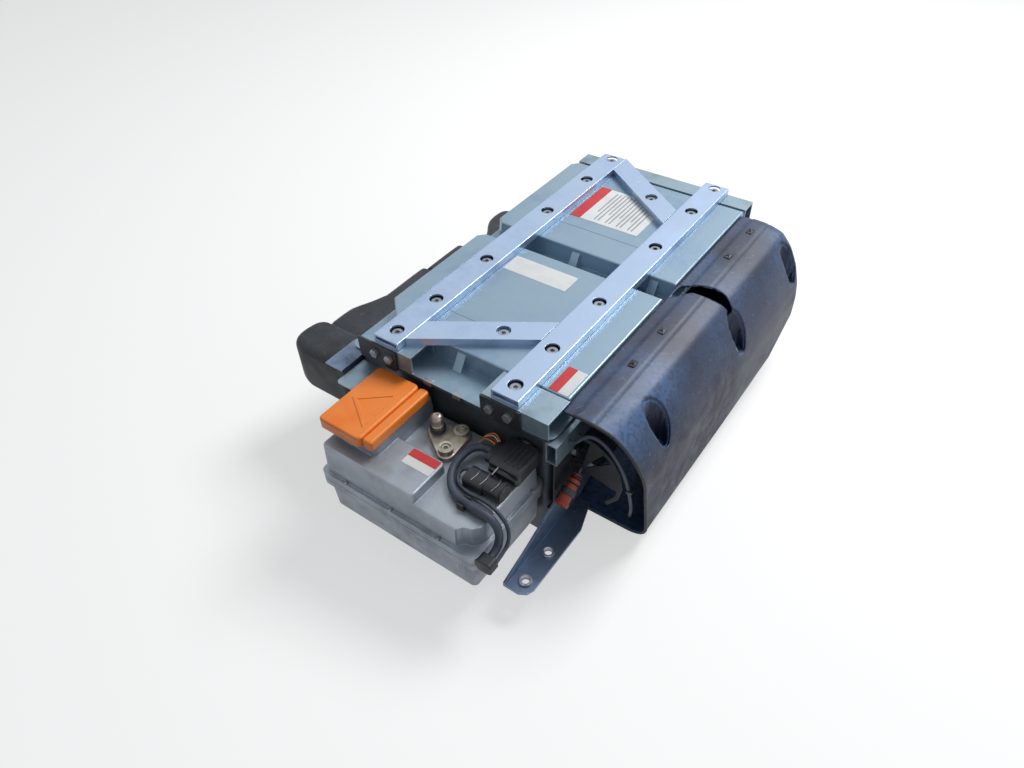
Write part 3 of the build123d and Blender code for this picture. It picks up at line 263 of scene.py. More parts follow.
@dataclass(frozen=True)
class Finish:
    """One finish: a base colour with a second tone, edges made lighter by wear and a painted highlight, dust
    with a painted sky sheen on faces that look up, scratches and a fine relief.

    The amounts are shares of one, the scales are per metre and the depths are metres.
    """

    name: str
    colour: tuple[float, float, float]
    tone: tuple[float, float, float]
    roughness: float = 0.45
    rough_span: float = 0.15
    metallic: float = 0.0
    tone_scale: float = 8.0
    # The edge colour below is partly rubbed wear and partly a painted highlight along edges.
    edge: float = 0.3
    edge_colour: tuple[float, float, float] = (0.6, 0.65, 0.7)
    edge_width: float = 0.0012
    # The colour on faces that look up is partly lying dust and partly a painted sky sheen, as on the shroud.
    dust_and_sheen: float = 0.0
    dust_and_sheen_colour: tuple[float, float, float] = (0.25, 0.27, 0.3)
    dust_and_sheen_scale: float = 9.0
    scratch: float = 0.0
    scratch_colour: tuple[float, float, float] = (0.5, 0.5, 0.5)
    grain_scale: float = 500.0
    grain_depth: float = 0.0002
    wave: float = 18.0
    rounding: float = 0.0008
    coat: float = 0.0

    def material(self, effects: Effects) -> bpy.types.Material:
        """Builds the material.

        Args:
            effects: The shared node groups.

        Returns:
            The new material.
        """
        made = bpy.data.materials.new(self.name)
        made.use_nodes = True
        tree = made.node_tree
        shader = tree.nodes["Principled BSDF"]
        place = tree.nodes.new("ShaderNodeTexCoord").outputs["Object"]

        def effect(group: bpy.types.NodeTree, **values: float) -> bpy.types.NodeSocket:
            """Places one shared group with its values.

            Args:
                group: The shared group.
                values: A value for each of its named inputs.

            Returns:
                The group's output.
            """
            node = tree.nodes.new("ShaderNodeGroup")
            node.node_tree = group
            tree.links.new(place, node.inputs["Vector"])
            for label, value in values.items():
                node.inputs[label].default_value = value
            return node.outputs[0]

        def blend(under: object, over: Sequence[float], mask: bpy.types.NodeSocket, share: float
                  ) -> bpy.types.NodeSocket:
            """Lays a colour over another through a mask times a share.

            Args:
                under: The colour below, as a socket or as three levels.
                over: The colour on top.
                mask: Where the upper colour shows.
                share: How strongly it shows.

            Returns:
                The mixed colour.
            """
            amount = tree.nodes.new("ShaderNodeMath")
            amount.operation = "MULTIPLY"
            amount.inputs[1].default_value = share
            tree.links.new(mask, amount.inputs[0])
            mix = tree.nodes.new("ShaderNodeMix")
            mix.data_type = "RGBA"
            tree.links.new(amount.outputs[0], mix.inputs["Factor"])
            if isinstance(under, bpy.types.NodeSocket):
                tree.links.new(under, mix.inputs["A"])
            else:
                mix.inputs["A"].default_value = (*under, 1.0)
            mix.inputs["B"].default_value = (*over, 1.0)
            return mix.outputs["Result"]

        patches = effect(effects.patches, Scale=self.tone_scale)
        colour = blend(self.colour, self.tone, patches, 1.0)
        if self.scratch:
            scratches = effect(effects.scratches)
            colour = blend(colour, self.scratch_colour, scratches, self.scratch)
        # Edges take a lighter colour that is partly rubbed wear and partly a painted highlight.
        if self.edge:
            wear_and_highlight = effect(effects.edge_wear_and_highlight, Width=self.edge_width)
            colour = blend(colour, self.edge_colour, wear_and_highlight, self.edge)
        # Faces that look up take a colour that is partly dust and partly a painted sky sheen.
        if self.dust_and_sheen:
            dust_and_sheen = effect(effects.dust_and_sheen, Scale=self.dust_and_sheen_scale)
            colour = blend(colour, self.dust_and_sheen_colour, dust_and_sheen, self.dust_and_sheen)
        tree.links.new(colour, shader.inputs["Base Color"])

        rough = tree.nodes.new("ShaderNodeMapRange")
        rough.inputs["To Min"].default_value = self.roughness
        rough.inputs["To Max"].default_value = min(self.roughness + self.rough_span, 1.0)
        tree.links.new(patches, rough.inputs["Value"])
        tree.links.new(rough.outputs["Result"], shader.inputs["Roughness"])
        shader.inputs["Metallic"].default_value = self.metallic
        shader.inputs["Coat Weight"].default_value = self.coat

        bump = tree.nodes.new("ShaderNodeBump")
        bump.inputs["Distance"].default_value = self.grain_depth
        tree.links.new(effect(effects.grain, Scale=self.grain_scale, Wave=self.wave), bump.inputs["Height"])
        if self.rounding:
            bevel = tree.nodes.new("ShaderNodeBevel")
            bevel.samples = 4
            bevel.inputs["Radius"].default_value = self.rounding
            tree.links.new(bevel.outputs["Normal"], bump.inputs["Normal"])
        tree.links.new(bump.outputs["Normal"], shader.inputs["Normal"])
        return made


FINISHES = (
    Finish("pressed_cover", srgb(146, 170, 188), srgb(122, 148, 170), 0.34, 0.16, 0.45, 7.0, 0.35,
           srgb(205, 220, 230), 0.0014, 0.12, srgb(165, 175, 180), scratch=0.10, grain_depth=0.0003),
    # The rails' near-white edge colour is a painted highlight along their edges, with some rubbing.
    Finish("rail_metal", srgb(176, 195, 220), srgb(154, 173, 200), 0.30, 0.2, 0.8, 14.0, 0.6,
           srgb(238, 244, 250), 0.001, scratch=0.14, scratch_colour=srgb(220, 230, 240),
           grain_scale=900.0, grain_depth=0.0001),
    Finish("beam_metal", srgb(150, 172, 186), srgb(112, 128, 140), 0.34, 0.2, 0.7, 16.0, 0.4,
           srgb(225, 232, 238), 0.001, 0.15, srgb(150, 150, 145), scratch=0.1, grain_depth=0.0003),
    Finish("tray_paint", srgb(78, 86, 94), srgb(60, 66, 74), 0.42, 0.2, 0.4, 7.0, 0.3,
           srgb(170, 178, 184), 0.001, 0.15, srgb(140, 140, 136), scratch=0.08),
    Finish("black_paint", srgb(34, 36, 42), srgb(24, 25, 29), 0.42, 0.2, 0.1, 14.0, 0.3,
           srgb(120, 124, 130), 0.001, 0.35, srgb(92, 94, 98), scratch=0.1),
    Finish("zinc_screw", srgb(168, 172, 178), srgb(104, 106, 110), 0.32, 0.2, 0.9, 80.0, 0.4,
           srgb(235, 238, 240), 0.0006, grain_depth=0.0001, rounding=0.0004),
    # The blue in this galvanised steel's colours is a painted sky reflection over the zinc's grey.
    Finish("galvanised", srgb(118, 138, 166), srgb(74, 88, 112), 0.36, 0.2, 0.7, 16.0, 0.5,
           srgb(190, 205, 222), 0.001, 0.2, srgb(120, 116, 108), scratch=0.25,
           scratch_colour=srgb(180, 196, 214)),
    # The shroud's blue colour on faces that look up is a painted sky sheen over some dust; its bluish edge
    # colour is a painted highlight.
    Finish("shroud_moulding", srgb(20, 32, 60), srgb(15, 21, 36), 0.46, 0.22, 0.0, 6.0, 0.22,
           srgb(110, 122, 146), 0.002, 0.65, srgb(86, 124, 176), 7.0, 0.2, srgb(150, 160, 176),
           700.0, 0.0003, 14.0, 0.0),
    Finish("duct_moulding", srgb(24, 28, 34), srgb(17, 20, 25), 0.5, 0.2, 0.0, 8.0, 0.2,
           srgb(90, 96, 104), 0.002, 0.4, srgb(70, 76, 86), 10.0, 0.2, srgb(120, 124, 130),
           700.0, 0.0003, 14.0, 0.002),
    Finish("cast_metal", srgb(158, 166, 176), srgb(128, 134, 144), 0.42, 0.18, 0.65, 10.0, 0.45,
           srgb(222, 226, 234), 0.0014, 0.25, srgb(158, 156, 152), 12.0, 0.05, srgb(210, 212, 218),
           650.0, 0.0006, 60.0, 0.0014),
    Finish("orange_moulding", srgb(255, 142, 48), srgb(250, 128, 38), 0.36, 0.14, 0.0, 14.0, 0.2,
           srgb(255, 190, 120), 0.0012, grain_depth=0.0002, rounding=0.0012, coat=0.15),
    Finish("black_moulding", srgb(27, 29, 34), srgb(18, 19, 22), 0.38, 0.2, 0.0, 30.0, 0.3,
           srgb(96, 100, 108), 0.0008, 0.25, srgb(70, 74, 82), grain_depth=0.0002),
    Finish("nickel", srgb(184, 176, 164), srgb(128, 118, 106), 0.3, 0.25, 0.9, 60.0, 0.4,
           srgb(236, 232, 224), 0.0008, grain_depth=0.0002),
    Finish("taped_sleeve", srgb(58, 68, 84), srgb(40, 47, 58), 0.5, 0.2, 0.0, 60.0, 0.0,
           dust_and_sheen=0.35, dust_and_sheen_colour=srgb(96, 108, 126), grain_scale=260.0, grain_depth=0.0006, rounding=0.0),
    Finish("red_moulding", srgb(190, 78, 60), srgb(150, 56, 44), 0.42, 0.2, 0.0, 40.0, 0.3,
           srgb(220, 130, 112), 0.001, grain_depth=0.0002),
    Finish("foam_seal", srgb(40, 41, 44), srgb(30, 30, 32), 0.85, 0.1, 0.0, 60.0, 0.0, rounding=0.0,
           grain_scale=900.0, grain_depth=0.0006),
    Finish("module_casing", srgb(44, 46, 52), srgb(34, 36, 40), 0.5, 0.2, 0.0, 40.0, 0.2),
    Finish("copper_bar", srgb(206, 140, 96), srgb(160, 96, 62), 0.32, 0.2, 0.9, 40.0, 0.3,
           srgb(240, 196, 160)),
    Finish("board_lacquer", srgb(40, 110, 66), srgb(28, 84, 50), 0.35, 0.15, 0.0, 60.0, 0.1),
    Finish("glazed_body", srgb(226, 222, 212), srgb(206, 202, 192), 0.3, 0.1, 0.0, 40.0, 0.1),
    Finish("sticker_white", srgb(232, 234, 234), srgb(218, 222, 224), 0.4, 0.15, 0.0, 30.0, 0.0,
           dust_and_sheen=0.1, rounding=0.0, grain_depth=0.0001),
    Finish("sticker_red", srgb(206, 52, 54), srgb(188, 44, 48), 0.4, 0.15, 0.0, 30.0, 0.0, rounding=0.0),
    Finish("sticker_yellow", srgb(226, 202, 84), srgb(214, 188, 70), 0.4, 0.15, 0.0, 30.0, 0.0, rounding=0.0),
    Finish("sticker_blue", srgb(70, 128, 172), srgb(60, 114, 158), 0.4, 0.15, 0.0, 30.0, 0.0, rounding=0.0),
    Finish("sticker_ink", srgb(150, 152, 156), srgb(136, 138, 142), 0.5, 0.15, 0.0, 30.0, 0.0, rounding=0.0),
)

NODE_FINISHES = {
    "pressed_cover": ("cover",),
    "rail_metal": ("rail_left", "rail_right", "brace_front", "brace_rear", "precharge_resistor"),
    "beam_metal": ("front_beam_left", "front_beam_right", "rear_beam", "side_rail", "tie_bars",
                   "stack_end_plates", "front_angle"),
    "tray_paint": ("tray",),
    "black_paint": ("rail_end_plate_left", "rail_end_plate_right", "side_panel"),
    "zinc_screw": ("rail_screws", "hex_bolts", "cover_clips", "bracket_collars", "box_screws",
                   "shroud_screws"),
    "galvanised": ("mounting_bracket", "duct_strip"),
    "shroud_moulding": ("duct_shroud",),
    "duct_moulding": ("left_duct", "inlet_spider"),
    "cast_metal": ("box_tray", "box_lid"),
    "orange_moulding": ("service_cover", "service_cover_strip", "service_plug"),
    "black_moulding": ("service_socket", "terminal_collar", "main_connector", "second_connector",
                       "harness_plug", "harness_clip", "cable_gland", "sensor_clip", "lead_tie",
                       "contactors", "current_sensor"),
    "nickel": ("terminal_plate", "terminal_screws", "terminal_knob"),
    "taped_sleeve": ("harness", "thin_lead", "sensor_lead", "duct_lead"),
    "red_moulding": ("sensor_connector",),
    "foam_seal": ("tray_seal", "box_gasket", "cell_runners"),
    "module_casing": ("front_cell_stacks", "rear_cell_stacks"),
    "copper_bar": ("module_busbars",),
    "board_lacquer": ("controller_board",),
    "glazed_body": ("main_fuse",),
}


# ---------------------------------------------------------------- meshes
def mesh_object(name: str, points: np.ndarray, faces: Sequence[Sequence[int]], smooth: bool = True
                ) -> bpy.types.Object:
    """Makes an object at the origin from points in millimetres.

    Points that fall together are merged, and then the normals are worked out again to face outwards.

    Args:
        name: The piece's name.
        points: An array of N rows of x, y, z.
        faces: Vertex numbers of each face.
        smooth: Whether the faces shade smoothly.

    Returns:
        The linked object.
    """
    mesh = bpy.data.meshes.new(name)
    mesh.from_pydata((points * MM).tolist(), [], [list(face) for face in faces])
    mesh.polygons.foreach_set("use_smooth", np.full(len(mesh.polygons), smooth))
    mesh.validate()
    work = bmesh.new()
    work.from_mesh(mesh)
    bmesh.ops.remove_doubles(work, verts=work.verts, dist=MERGE_MM * MM)
    bmesh.ops.recalc_face_normals(work, faces=work.faces)
    work.to_mesh(mesh)
    work.free()
    mesh.update()
    made = bpy.data.objects.new(name, mesh)
    bpy.context.scene.collection.objects.link(made)
    return made


def grid_faces(rows: int, columns: int, wrap: bool = False) -> np.ndarray:
    """Lists the quads of a grid whose point (i, j) has the number i * columns + j.

    Args:
        rows: Count of rows.
        columns: Count of columns.
        wrap: Whether the last column joins the first.

    Returns:
        An array of four vertex numbers for each quad.
    """
    across = columns if wrap else columns - 1
    row, column = np.meshgrid(np.arange(rows - 1), np.arange(across), indexing="ij")
    after = (column + 1) % columns
    quads = np.stack((row * columns + column, row * columns + after,
                      (row + 1) * columns + after, (row + 1) * columns + column), axis=-1)
    return quads.reshape(-1, 4)


def smoothstep(value: np.ndarray) -> np.ndarray:
    """The curve 3 t squared less 2 t cubed, with t held between 0 and 1."""
    held = np.clip(value, 0.0, 1.0)
    return held * held * (3.0 - 2.0 * held)


def tube_along(points: np.ndarray, radius: float, sides: int = 10) -> tuple[np.ndarray, np.ndarray]:
    """Carries a circle along a path: each point plus radius times cos and sin of two cross directions.

    Args:
        points: The path's points in millimetres.
        radius: The tube's radius in millimetres.
        sides: Count of points round the circle.

    Returns:
        The tube's points and faces, with both ends closed.
    """
    along = np.gradient(points, axis=0)
    along /= np.linalg.norm(along, axis=1, keepdims=True)
    guide = np.array((0.31, 0.17, 0.93))
    side = np.cross(along, guide)
    side /= np.linalg.norm(side, axis=1, keepdims=True)
    up = np.cross(side, along)
    angle = np.linspace(0, 2 * math.pi, sides, endpoint=False)[None, :, None]
    rings = points[:, None] + radius * (np.cos(angle) * side[:, None] + np.sin(angle) * up[:, None])
    count = len(points)
    faces = grid_faces(count, sides, wrap=True)[:, ::-1].tolist()
    faces.append(list(range(sides)))
    faces.append(list(range(count * sides - 1, (count - 1) * sides - 1, -1)))
    return rings.reshape(-1, 3), faces


def smooth_path(points: Sequence[Sequence[float]], steps: int = 12) -> np.ndarray:
    """A curve through the points: a cubic of each four neighbours, with tangents along their chords.

    Args:
        points: The points it passes, in millimetres.
        steps: Samples on each span.

    Returns:
        The sampled points.
    """
    given = np.array(points, float)
    held = np.vstack((2 * given[0] - given[1], given, 2 * given[-1] - given[-2]))
    before, start, end, after = (held[place:len(held) - 3 + place, None] for place in range(4))
    share = np.linspace(0, 1, steps, endpoint=False)[None, :, None]
    curve = 0.5 * (2 * start + (end - before) * share
                   + (2 * before - 5 * start + 4 * end - after) * share ** 2
                   + (3 * start - before - 3 * end + after) * share ** 3)
    return np.vstack((curve.reshape(-1, given.shape[1]), given[-1]))


def rounded_plate(name: str, corners: Sequence[Sequence[float]], level: float, height: float, radius: float
                  ) -> bpy.types.Object:
    """A thin plate over four corners: rounded outline points, a rim set in by its height, and a top.

    Args:
        name: The piece's name.
        corners: The four corners' x and y in millimetres, anticlockwise.
        level: Height of its underside.
        height: Its thickness.
        radius: Radius of its corners.

    Returns:
        The linked object.
    """
    given = np.array(corners, float)
    outline = []
    for here, before, after in zip(given, np.roll(given, 1, axis=0), np.roll(given, -1, axis=0)):
        back = (before - here) / np.linalg.norm(before - here)
        on = (after - here) / np.linalg.norm(after - here)
        share = np.linspace(0, 1, 6)[:, None]
        start, end = here + back * radius, here + on * radius
        outline.append((1 - share) ** 2 * start + 2 * share * (1 - share) * here + share ** 2 * end)
    rim = np.vstack(outline)
    centre = rim.mean(axis=0)
    inset = centre + (rim - centre) * (1 - 2 * height / np.abs(rim - centre).max())
    count = len(rim)
    points = np.vstack([np.column_stack((ring, np.full(count, rise))) for ring, rise in
                        ((rim, level), (rim, level + height * 0.6), (inset, level + height))])
    faces = grid_faces(3, count, wrap=True).tolist()
    faces.append(list(range(2 * count, 3 * count)))
    faces.append(list(range(count - 1, -1, -1)))
    return mesh_object(name, points, faces, smooth=False)


@dataclass
class Workshop:
    """Holds the finished materials and attaches each new piece to the module."""

    effects: Effects = field(default_factory=Effects)
    materials: dict[str, bpy.types.Material] = field(default_factory=dict)

    def prepare(self) -> None:
        """Builds every finish."""
        self.materials = {finish.name: finish.material(self.effects) for finish in FINISHES}

    def fit(self, piece: bpy.types.Object, finish: str,
            replaces: Iterable[str] = ()) -> bpy.types.Object:
        """Gives a piece its finish and lets it ride on the module.

        Args:
            piece: The new piece.
            finish: Name of its finish.
            replaces: CAD nodes that it stands for.

        Returns:
            The piece.
        """
        piece.data.materials.clear()
        piece.data.materials.append(self.materials[finish])
        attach(piece, BODY)
        if replaces:
            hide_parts(*replaces)
        log.info("made %s", piece.name)
        return piece

    def dress_nodes(self) -> None:
        """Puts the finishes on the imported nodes."""
        for finish, names in NODE_FINISHES.items():
            for name in names:
                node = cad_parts[name]
                node.data.materials.clear()
                node.data.materials.append(self.materials[finish])


# ---------------------------------------------------------------- sub-assemblies
@dataclass
class IntakeShroud:
    """The moulded air duct on the right: a thin shell with a shoulder, three screw pockets and a cut-out."""

    inner: float = 168.0
    foot: float = 164.0
    wall: float = 3.0
    top: float = 233.0
    rim_front: float = -212.0
    rim_slope: float = 0.19
    rear: float = 347.0
    stations: tuple[tuple[float, float, float, float], ...] = (
        (-230.0, 116.0, 142.0, 6.0), (60.0, 117.0, 134.0, 9.0), (240.0, 120.0, 122.0, 24.0),
        (347.0, 118.0, 116.0, 66.0))
    shoulder: tuple[tuple[float, float], ...] = (
        (0.0, 0.0), (0.2, 0.0), (0.395, 0.012), (0.614, 0.075), (0.77, 0.25), (0.895, 0.505),
        (0.974, 0.785), (1.0, 1.0))
    belly: float = 26.0
    pockets: tuple[tuple[float, float], ...] = ((262.0, -132.0), (268.0, 104.0), (266.0, 308.0))
    pocket_radius: float = 16.0
    pocket_floor: float = 151.0
    pocket_draft: float = 0.055
    step_width: float = 3.0
    strip_width: float = 19.0
    strip_depth: float = 1.6
    ridge_place: float = 44.0
    ridge_depth: float = 0.9
    flat_top: float = 200.0
    pole_height: float = 150.0
    rear_pull: float = 0.16
    opening_curve: tuple[tuple[float, float], ...] = (
        (262.0, 104.0), (246.0, 117.0), (226.0, 126.0), (203.0, 122.0), (170.0, 104.0))
    opening_return: tuple[tuple[float, float], ...] = ((170.0, 68.0), (194.0, 96.0))
    hook_places: tuple[float, ...] = (-88.0, -6.0, 211.0, 294.0)
    hook_middle: float = 198.0
    hook_half: tuple[float, float] = (5.0, 7.0)
    bead_radius: float = 2.4
    bead_shift: tuple[float, float, float] = (-1.6, 1.2, -1.4)
    smoothing: int = 6
    around: int = 150
    along: int = 290
    closing: int = 14

    def section(self, y: np.ndarray, inset: float) -> tuple[np.ndarray, np.ndarray]:
        """The duct's section at each y.

        The top and shoulder follow the table of width and drop shares, the side falls straight to the
        belly's quarter circle, and the underside runs back to the foot. The points are spread evenly
        along that line.

        Args:
            y: Places along the duct.
            inset: Distance inwards from the outer side.

        Returns:
            Arrays of x and z with one row for each y.
        """
        places, widths, widest, bases = np.array(self.stations).T
        width = np.interp(y, places, widths)[:, None] - inset
        wide_at = np.interp(y, places, widest)[:, None]
        base = np.interp(y, places, bases)[:, None] + inset
        top = self.top - inset
        share, fall = np.array(self.shoulder).T
        turn = np.linspace(0, math.pi / 2, 10)
        radius = self.belly - inset
        outer = self.inner + width
        xs = np.hstack((self.inner + inset + (width - inset) * share + 0 * y[:, None],
                        outer - radius + radius * np.cos(turn), np.full((len(y), 1), self.foot)))
        zs = np.hstack((top - (top - wide_at) * fall, base + radius - radius * np.sin(turn), base))
        step = np.hypot(np.diff(xs), np.diff(zs))
        length = np.hstack((np.zeros((len(y), 1)), np.cumsum(step, axis=1)))
        even = np.linspace(0, 1, self.around)
        rows = [(np.interp(even, run / run[-1], x), np.interp(even, run / run[-1], z))
                for run, x, z in zip(length, xs, zs)]
        x = np.array([row[0] for row in rows])
        z = np.array([row[1] for row in rows])
        for _ in range(self.smoothing):
            x[:, 1:-1] = (x[:, :-2] + 2 * x[:, 1:-1] + x[:, 2:]) / 4
            z[:, 1:-1] = (z[:, :-2] + 2 * z[:, 1:-1] + z[:, 2:]) / 4
        return x, z

    def skin(self, inset: float) -> np.ndarray:
        """One side of the shell as a grid of points.

        Each row starts at the sloped mouth. Past the last full row the section is drawn together
        along a quarter ellipse, which rounds and closes the rear end. Points inside a pocket's circle
        are pushed down to its floor through a smooth step.

        Args:
            inset: Distance inwards from the outer side.

        Returns:
            An array of rows by columns by 3.
        """
        share = np.linspace(0, 1, self.along)
        rear = self.rear - inset - self.belly
        x, z = self.section(self.rim_front + (rear - self.rim_front) * share, inset)
        rim = self.rim_front + self.rim_slope * (self.top - z)
        y = rim + (rear - rim) * share[:, None]
        angle = np.linspace(0, math.pi / 2, self.closing + 1)[1:]
        middle_x, middle_z = self.foot + 2.0, self.pole_height
        drawn = 1 - self.rear_pull * (1 - np.cos(angle))[:, None]
        drawn[-1] = 0.0
        drawn[-2] = 0.5
        x = np.vstack((x, middle_x + (x[-1] - middle_x) * drawn))
        z = np.vstack((z, middle_z + (z[-1] - middle_z) * drawn))
        y = np.vstack((y, np.repeat((rear + self.belly * np.sin(angle))[:, None], x.shape[1], axis=1)))
        for centre_x, centre_y in self.pockets:
            reach = self.pocket_radius - inset + self.pocket_draft * (z - self.pocket_floor)
            depth = reach - np.hypot(x - centre_x, y - centre_y)
            inside = smoothstep(depth / self.step_width + 0.5)
            floor = self.pocket_floor - inset
            z = np.where(z > floor, z + (floor - z) * inside, z)
        upper = z > self.flat_top
        strip = smoothstep((self.inner + self.strip_width - x) / self.step_width) * upper
        ridge = smoothstep(1 - np.abs(x - (self.inner + self.ridge_place)) / self.step_width) * upper
        z = z - (self.strip_depth * strip + self.ridge_depth * ridge)
        return np.stack((x, y, z), axis=-1)

    def build(self, shop: Workshop) -> None:
        """Makes the shell from its outer and inner skins, leaves out the opening and adds what sits on it.

        Both skins share one numbering. Faces inside the opening are left out, the points round it are
        moved onto its outline, and each side that belongs to one kept face only gets a wall between
        the skins.

        Args:
            shop: Where finishes are kept.
        """
        outer, inner = self.skin(0.0), self.skin(self.wall)
        rows, columns = outer.shape[:2]
        faces = grid_faces(rows, columns)
        gone = self.opened(outer, faces)
        edge = np.intersect1d(faces[gone], faces[~gone])
        line = self.opening_line()
        for skin in (outer, inner):
            flat = skin.reshape(-1, 3)
            gap = np.hypot(*(flat[edge, None, :2] - line[None]).transpose(2, 0, 1))
            flat[edge, :2] = line[np.argmin(gap, axis=1)]
        kept = faces[~gone]
        sides = np.concatenate([kept[:, [k, (k + 1) % 4]] for k in range(4)])
        count = rows * columns
        forward, backward = sides @ (count, 1), sides @ (1, count)
        free = sides[~np.isin(forward, backward)]
        free = free[(free < count - columns).any(axis=1)]
        walls = np.column_stack((free[:, ::-1], free + count))
        everything = np.concatenate((kept, kept[:, ::-1] + count, walls)).tolist()
        points = np.concatenate((outer.reshape(-1, 3), inner.reshape(-1, 3)))
        shell = mesh_object("intake_shroud", points, everything)
        shop.fit(shell, "shroud_moulding", ("duct_shroud",))
        self.rim(shop, outer)
        self.tabs(shop)

    def opening_line(self) -> np.ndarray:
        """The outline of the opening between the duct's halves, as close points on a closed line."""
        curved = smooth_path(self.opening_curve, 20)
        straight = np.array((curved[-1], *self.opening_return, curved[0]))
        share = np.linspace(0, 1, 30)[:, None]
        runs = [first + (last - first) * share for first, last in zip(straight, straight[1:])]
        return np.vstack((curved, *runs))

    def opened(self, outer: np.ndarray, faces: np.ndarray) -> np.ndarray:
        """Tells which faces lie inside the opening, by counting the outline's crossings to one side.

        Args:
            outer: The outer skin's grid.
            faces: Its faces.

        Returns:
            True for each face whose middle is inside the outline and near the top.
        """
        middle = outer.reshape(-1, 3)[faces].mean(axis=1)
        start = self.opening_line()
        end = np.roll(start, -1, axis=0)
        x, y = middle[:, :1], middle[:, 1:2]
        spans = (start[:, 1] > y) != (end[:, 1] > y)
        rise = np.where(end[:, 1] == start[:, 1], 1.0, end[:, 1] - start[:, 1])
        meets = start[:, 0] + (y - start[:, 1]) / rise * (end[:, 0] - start[:, 0])
        inside = (spans & (x < meets)).sum(axis=1) % 2 == 1
        return inside & (middle[:, 2] > self.pocket_floor + 20.0)

    def rim(self, shop: Workshop, outer: np.ndarray) -> None:
        """A rounded bead runs along the mouth's edge: a tube carried along the shell's first row.

        Args:
            shop: Where finishes are kept.
            outer: The outer skin's grid.
        """
        path = outer[0, 6:-2:3] + np.array(self.bead_shift)
        points, faces = tube_along(path, self.bead_radius)
        shop.fit(mesh_object("intake_rim", points, faces), "duct_moulding")

    def tabs(self, shop: Workshop) -> None:
        """Small raised hooks stand on the duct's top beside the cover.

        Args:
            shop: Where finishes are kept.
        """
        x, z = self.section(np.array(self.hook_places), 0.0)
        half_x, half_y = self.hook_half
        left, right = self.hook_middle - half_x, self.hook_middle + half_x
        for number, (y, row_x, row_z) in enumerate(zip(self.hook_places, x, z)):
            level = float(np.interp(self.hook_middle, row_x[:70], row_z[:70])) - 1.5
            corners = ((left, y - half_y), (right, y - half_y), (right, y + half_y), (left, y + half_y))
            hook = rounded_plate(f"intake_hook_{number}", corners, level, 4.5, 2.0)
            shop.fit(hook, "duct_moulding")


@dataclass
class OutletDuct:
    """The moulded air duct on the left: a rounded box whose outer side steps in and out along the tray."""

    root: float = -164.0
    base: float = 98.0
    radius: float = 13.0
    stations: tuple[tuple[float, float, float], ...] = (
        (-271.0, -250.0, 160.0), (-270.0, -262.0, 170.0), (-264.0, -275.0, 175.5), (-256.0, -283.0, 177.4),
        (-244.0, -287.3, 177.8), (-226.0, -287.3, 177.8), (-212.0, -284.0, 177.6), (-205.0, -276.0, 177.0),
        (-201.0, -271.0, 171.0), (-190.0, -272.0, 171.6), (-160.0, -272.0, 171.6), (-146.0, -269.0, 171.6),
        (-120.0, -258.0, 171.4), (-98.0, -250.5, 171.4), (-90.0, -249.0, 171.4), (-14.0, -249.5, 171.4),
        (-6.0, -247.0, 171.0), (-1.0, -242.5, 168.8), (4.0, -242.0, 171.2), (74.0, -242.0, 171.4),
        (81.0, -239.0, 171.0), (88.0, -226.0, 168.0), (93.0, -222.0, 170.8), (134.0, -221.0, 171.2),
        (150.0, -226.0, 171.2), (172.0, -240.0, 171.2), (188.0, -245.5, 171.2), (212.0, -245.5, 170.8),
        (224.0, -241.0, 168.0), (230.0, -230.0, 160.0))
    steps: int = 9
    round_points: int = 9

    def build(self, shop: Workshop) -> None:
        """Carries a section with two quarter circles along the duct's side line and closes both ends.

        At each place the section runs from the root over the top, round the upper outer corner, down
        the side, round the lower outer corner and back to the root.

        Args:
            shop: Where finishes are kept.
        """
        line = smooth_path(self.stations, 4)
        y, outer, top = line.T
        y = np.maximum.accumulate(y)
        turn = np.linspace(0, math.pi / 2, self.round_points)
        radius = self.radius
        low = np.full_like(y, self.base) + (np.max(top) - top) * 0.5
        flat = np.linspace(0, 1, self.steps)[None, :, None]
        upper = np.stack((outer[:, None] + radius - radius * np.sin(turn),
                          top[:, None] - radius + radius * np.cos(turn)), axis=-1)
        lower = np.stack((outer[:, None] + radius - radius * np.cos(turn),
                          low[:, None] + radius - radius * np.sin(turn)), axis=-1)
        roof_root = np.stack((np.full_like(y, self.root), top), axis=-1)[:, None]
        floor_root = np.stack((np.full_like(y, self.root), low), axis=-1)[:, None]
        roof = roof_root + (upper[:, :1] - roof_root) * flat[:, :-1]
        floor = lower[:, -1:] + (floor_root - lower[:, -1:]) * flat[:, 1:]
        side = upper[:, -1:] + (lower[:, :1] - upper[:, -1:]) * flat[:, 1:-1]
        ring = np.concatenate((roof, upper, side, lower, floor), axis=1)
        rows, columns = ring.shape[:2]
        along = np.repeat(y[:, None, None], columns, axis=1)
        points = np.concatenate((ring[:, :, :1], along, ring[:, :, 1:]), axis=2)
        faces = grid_faces(rows, columns)[:, ::-1].tolist()
        faces.append(list(range(columns)))
        faces.append(list(range(rows * columns - 1, (rows - 1) * columns - 1, -1)))
        faces += [[i * columns, (i + 1) * columns, (i + 2) * columns - 1, (i + 1) * columns - 1]
                  for i in range(rows - 1)]
        shell = mesh_object("outlet_duct", points.reshape(-1, 3), faces)
        shop.fit(shell, "duct_moulding", ("left_duct",))


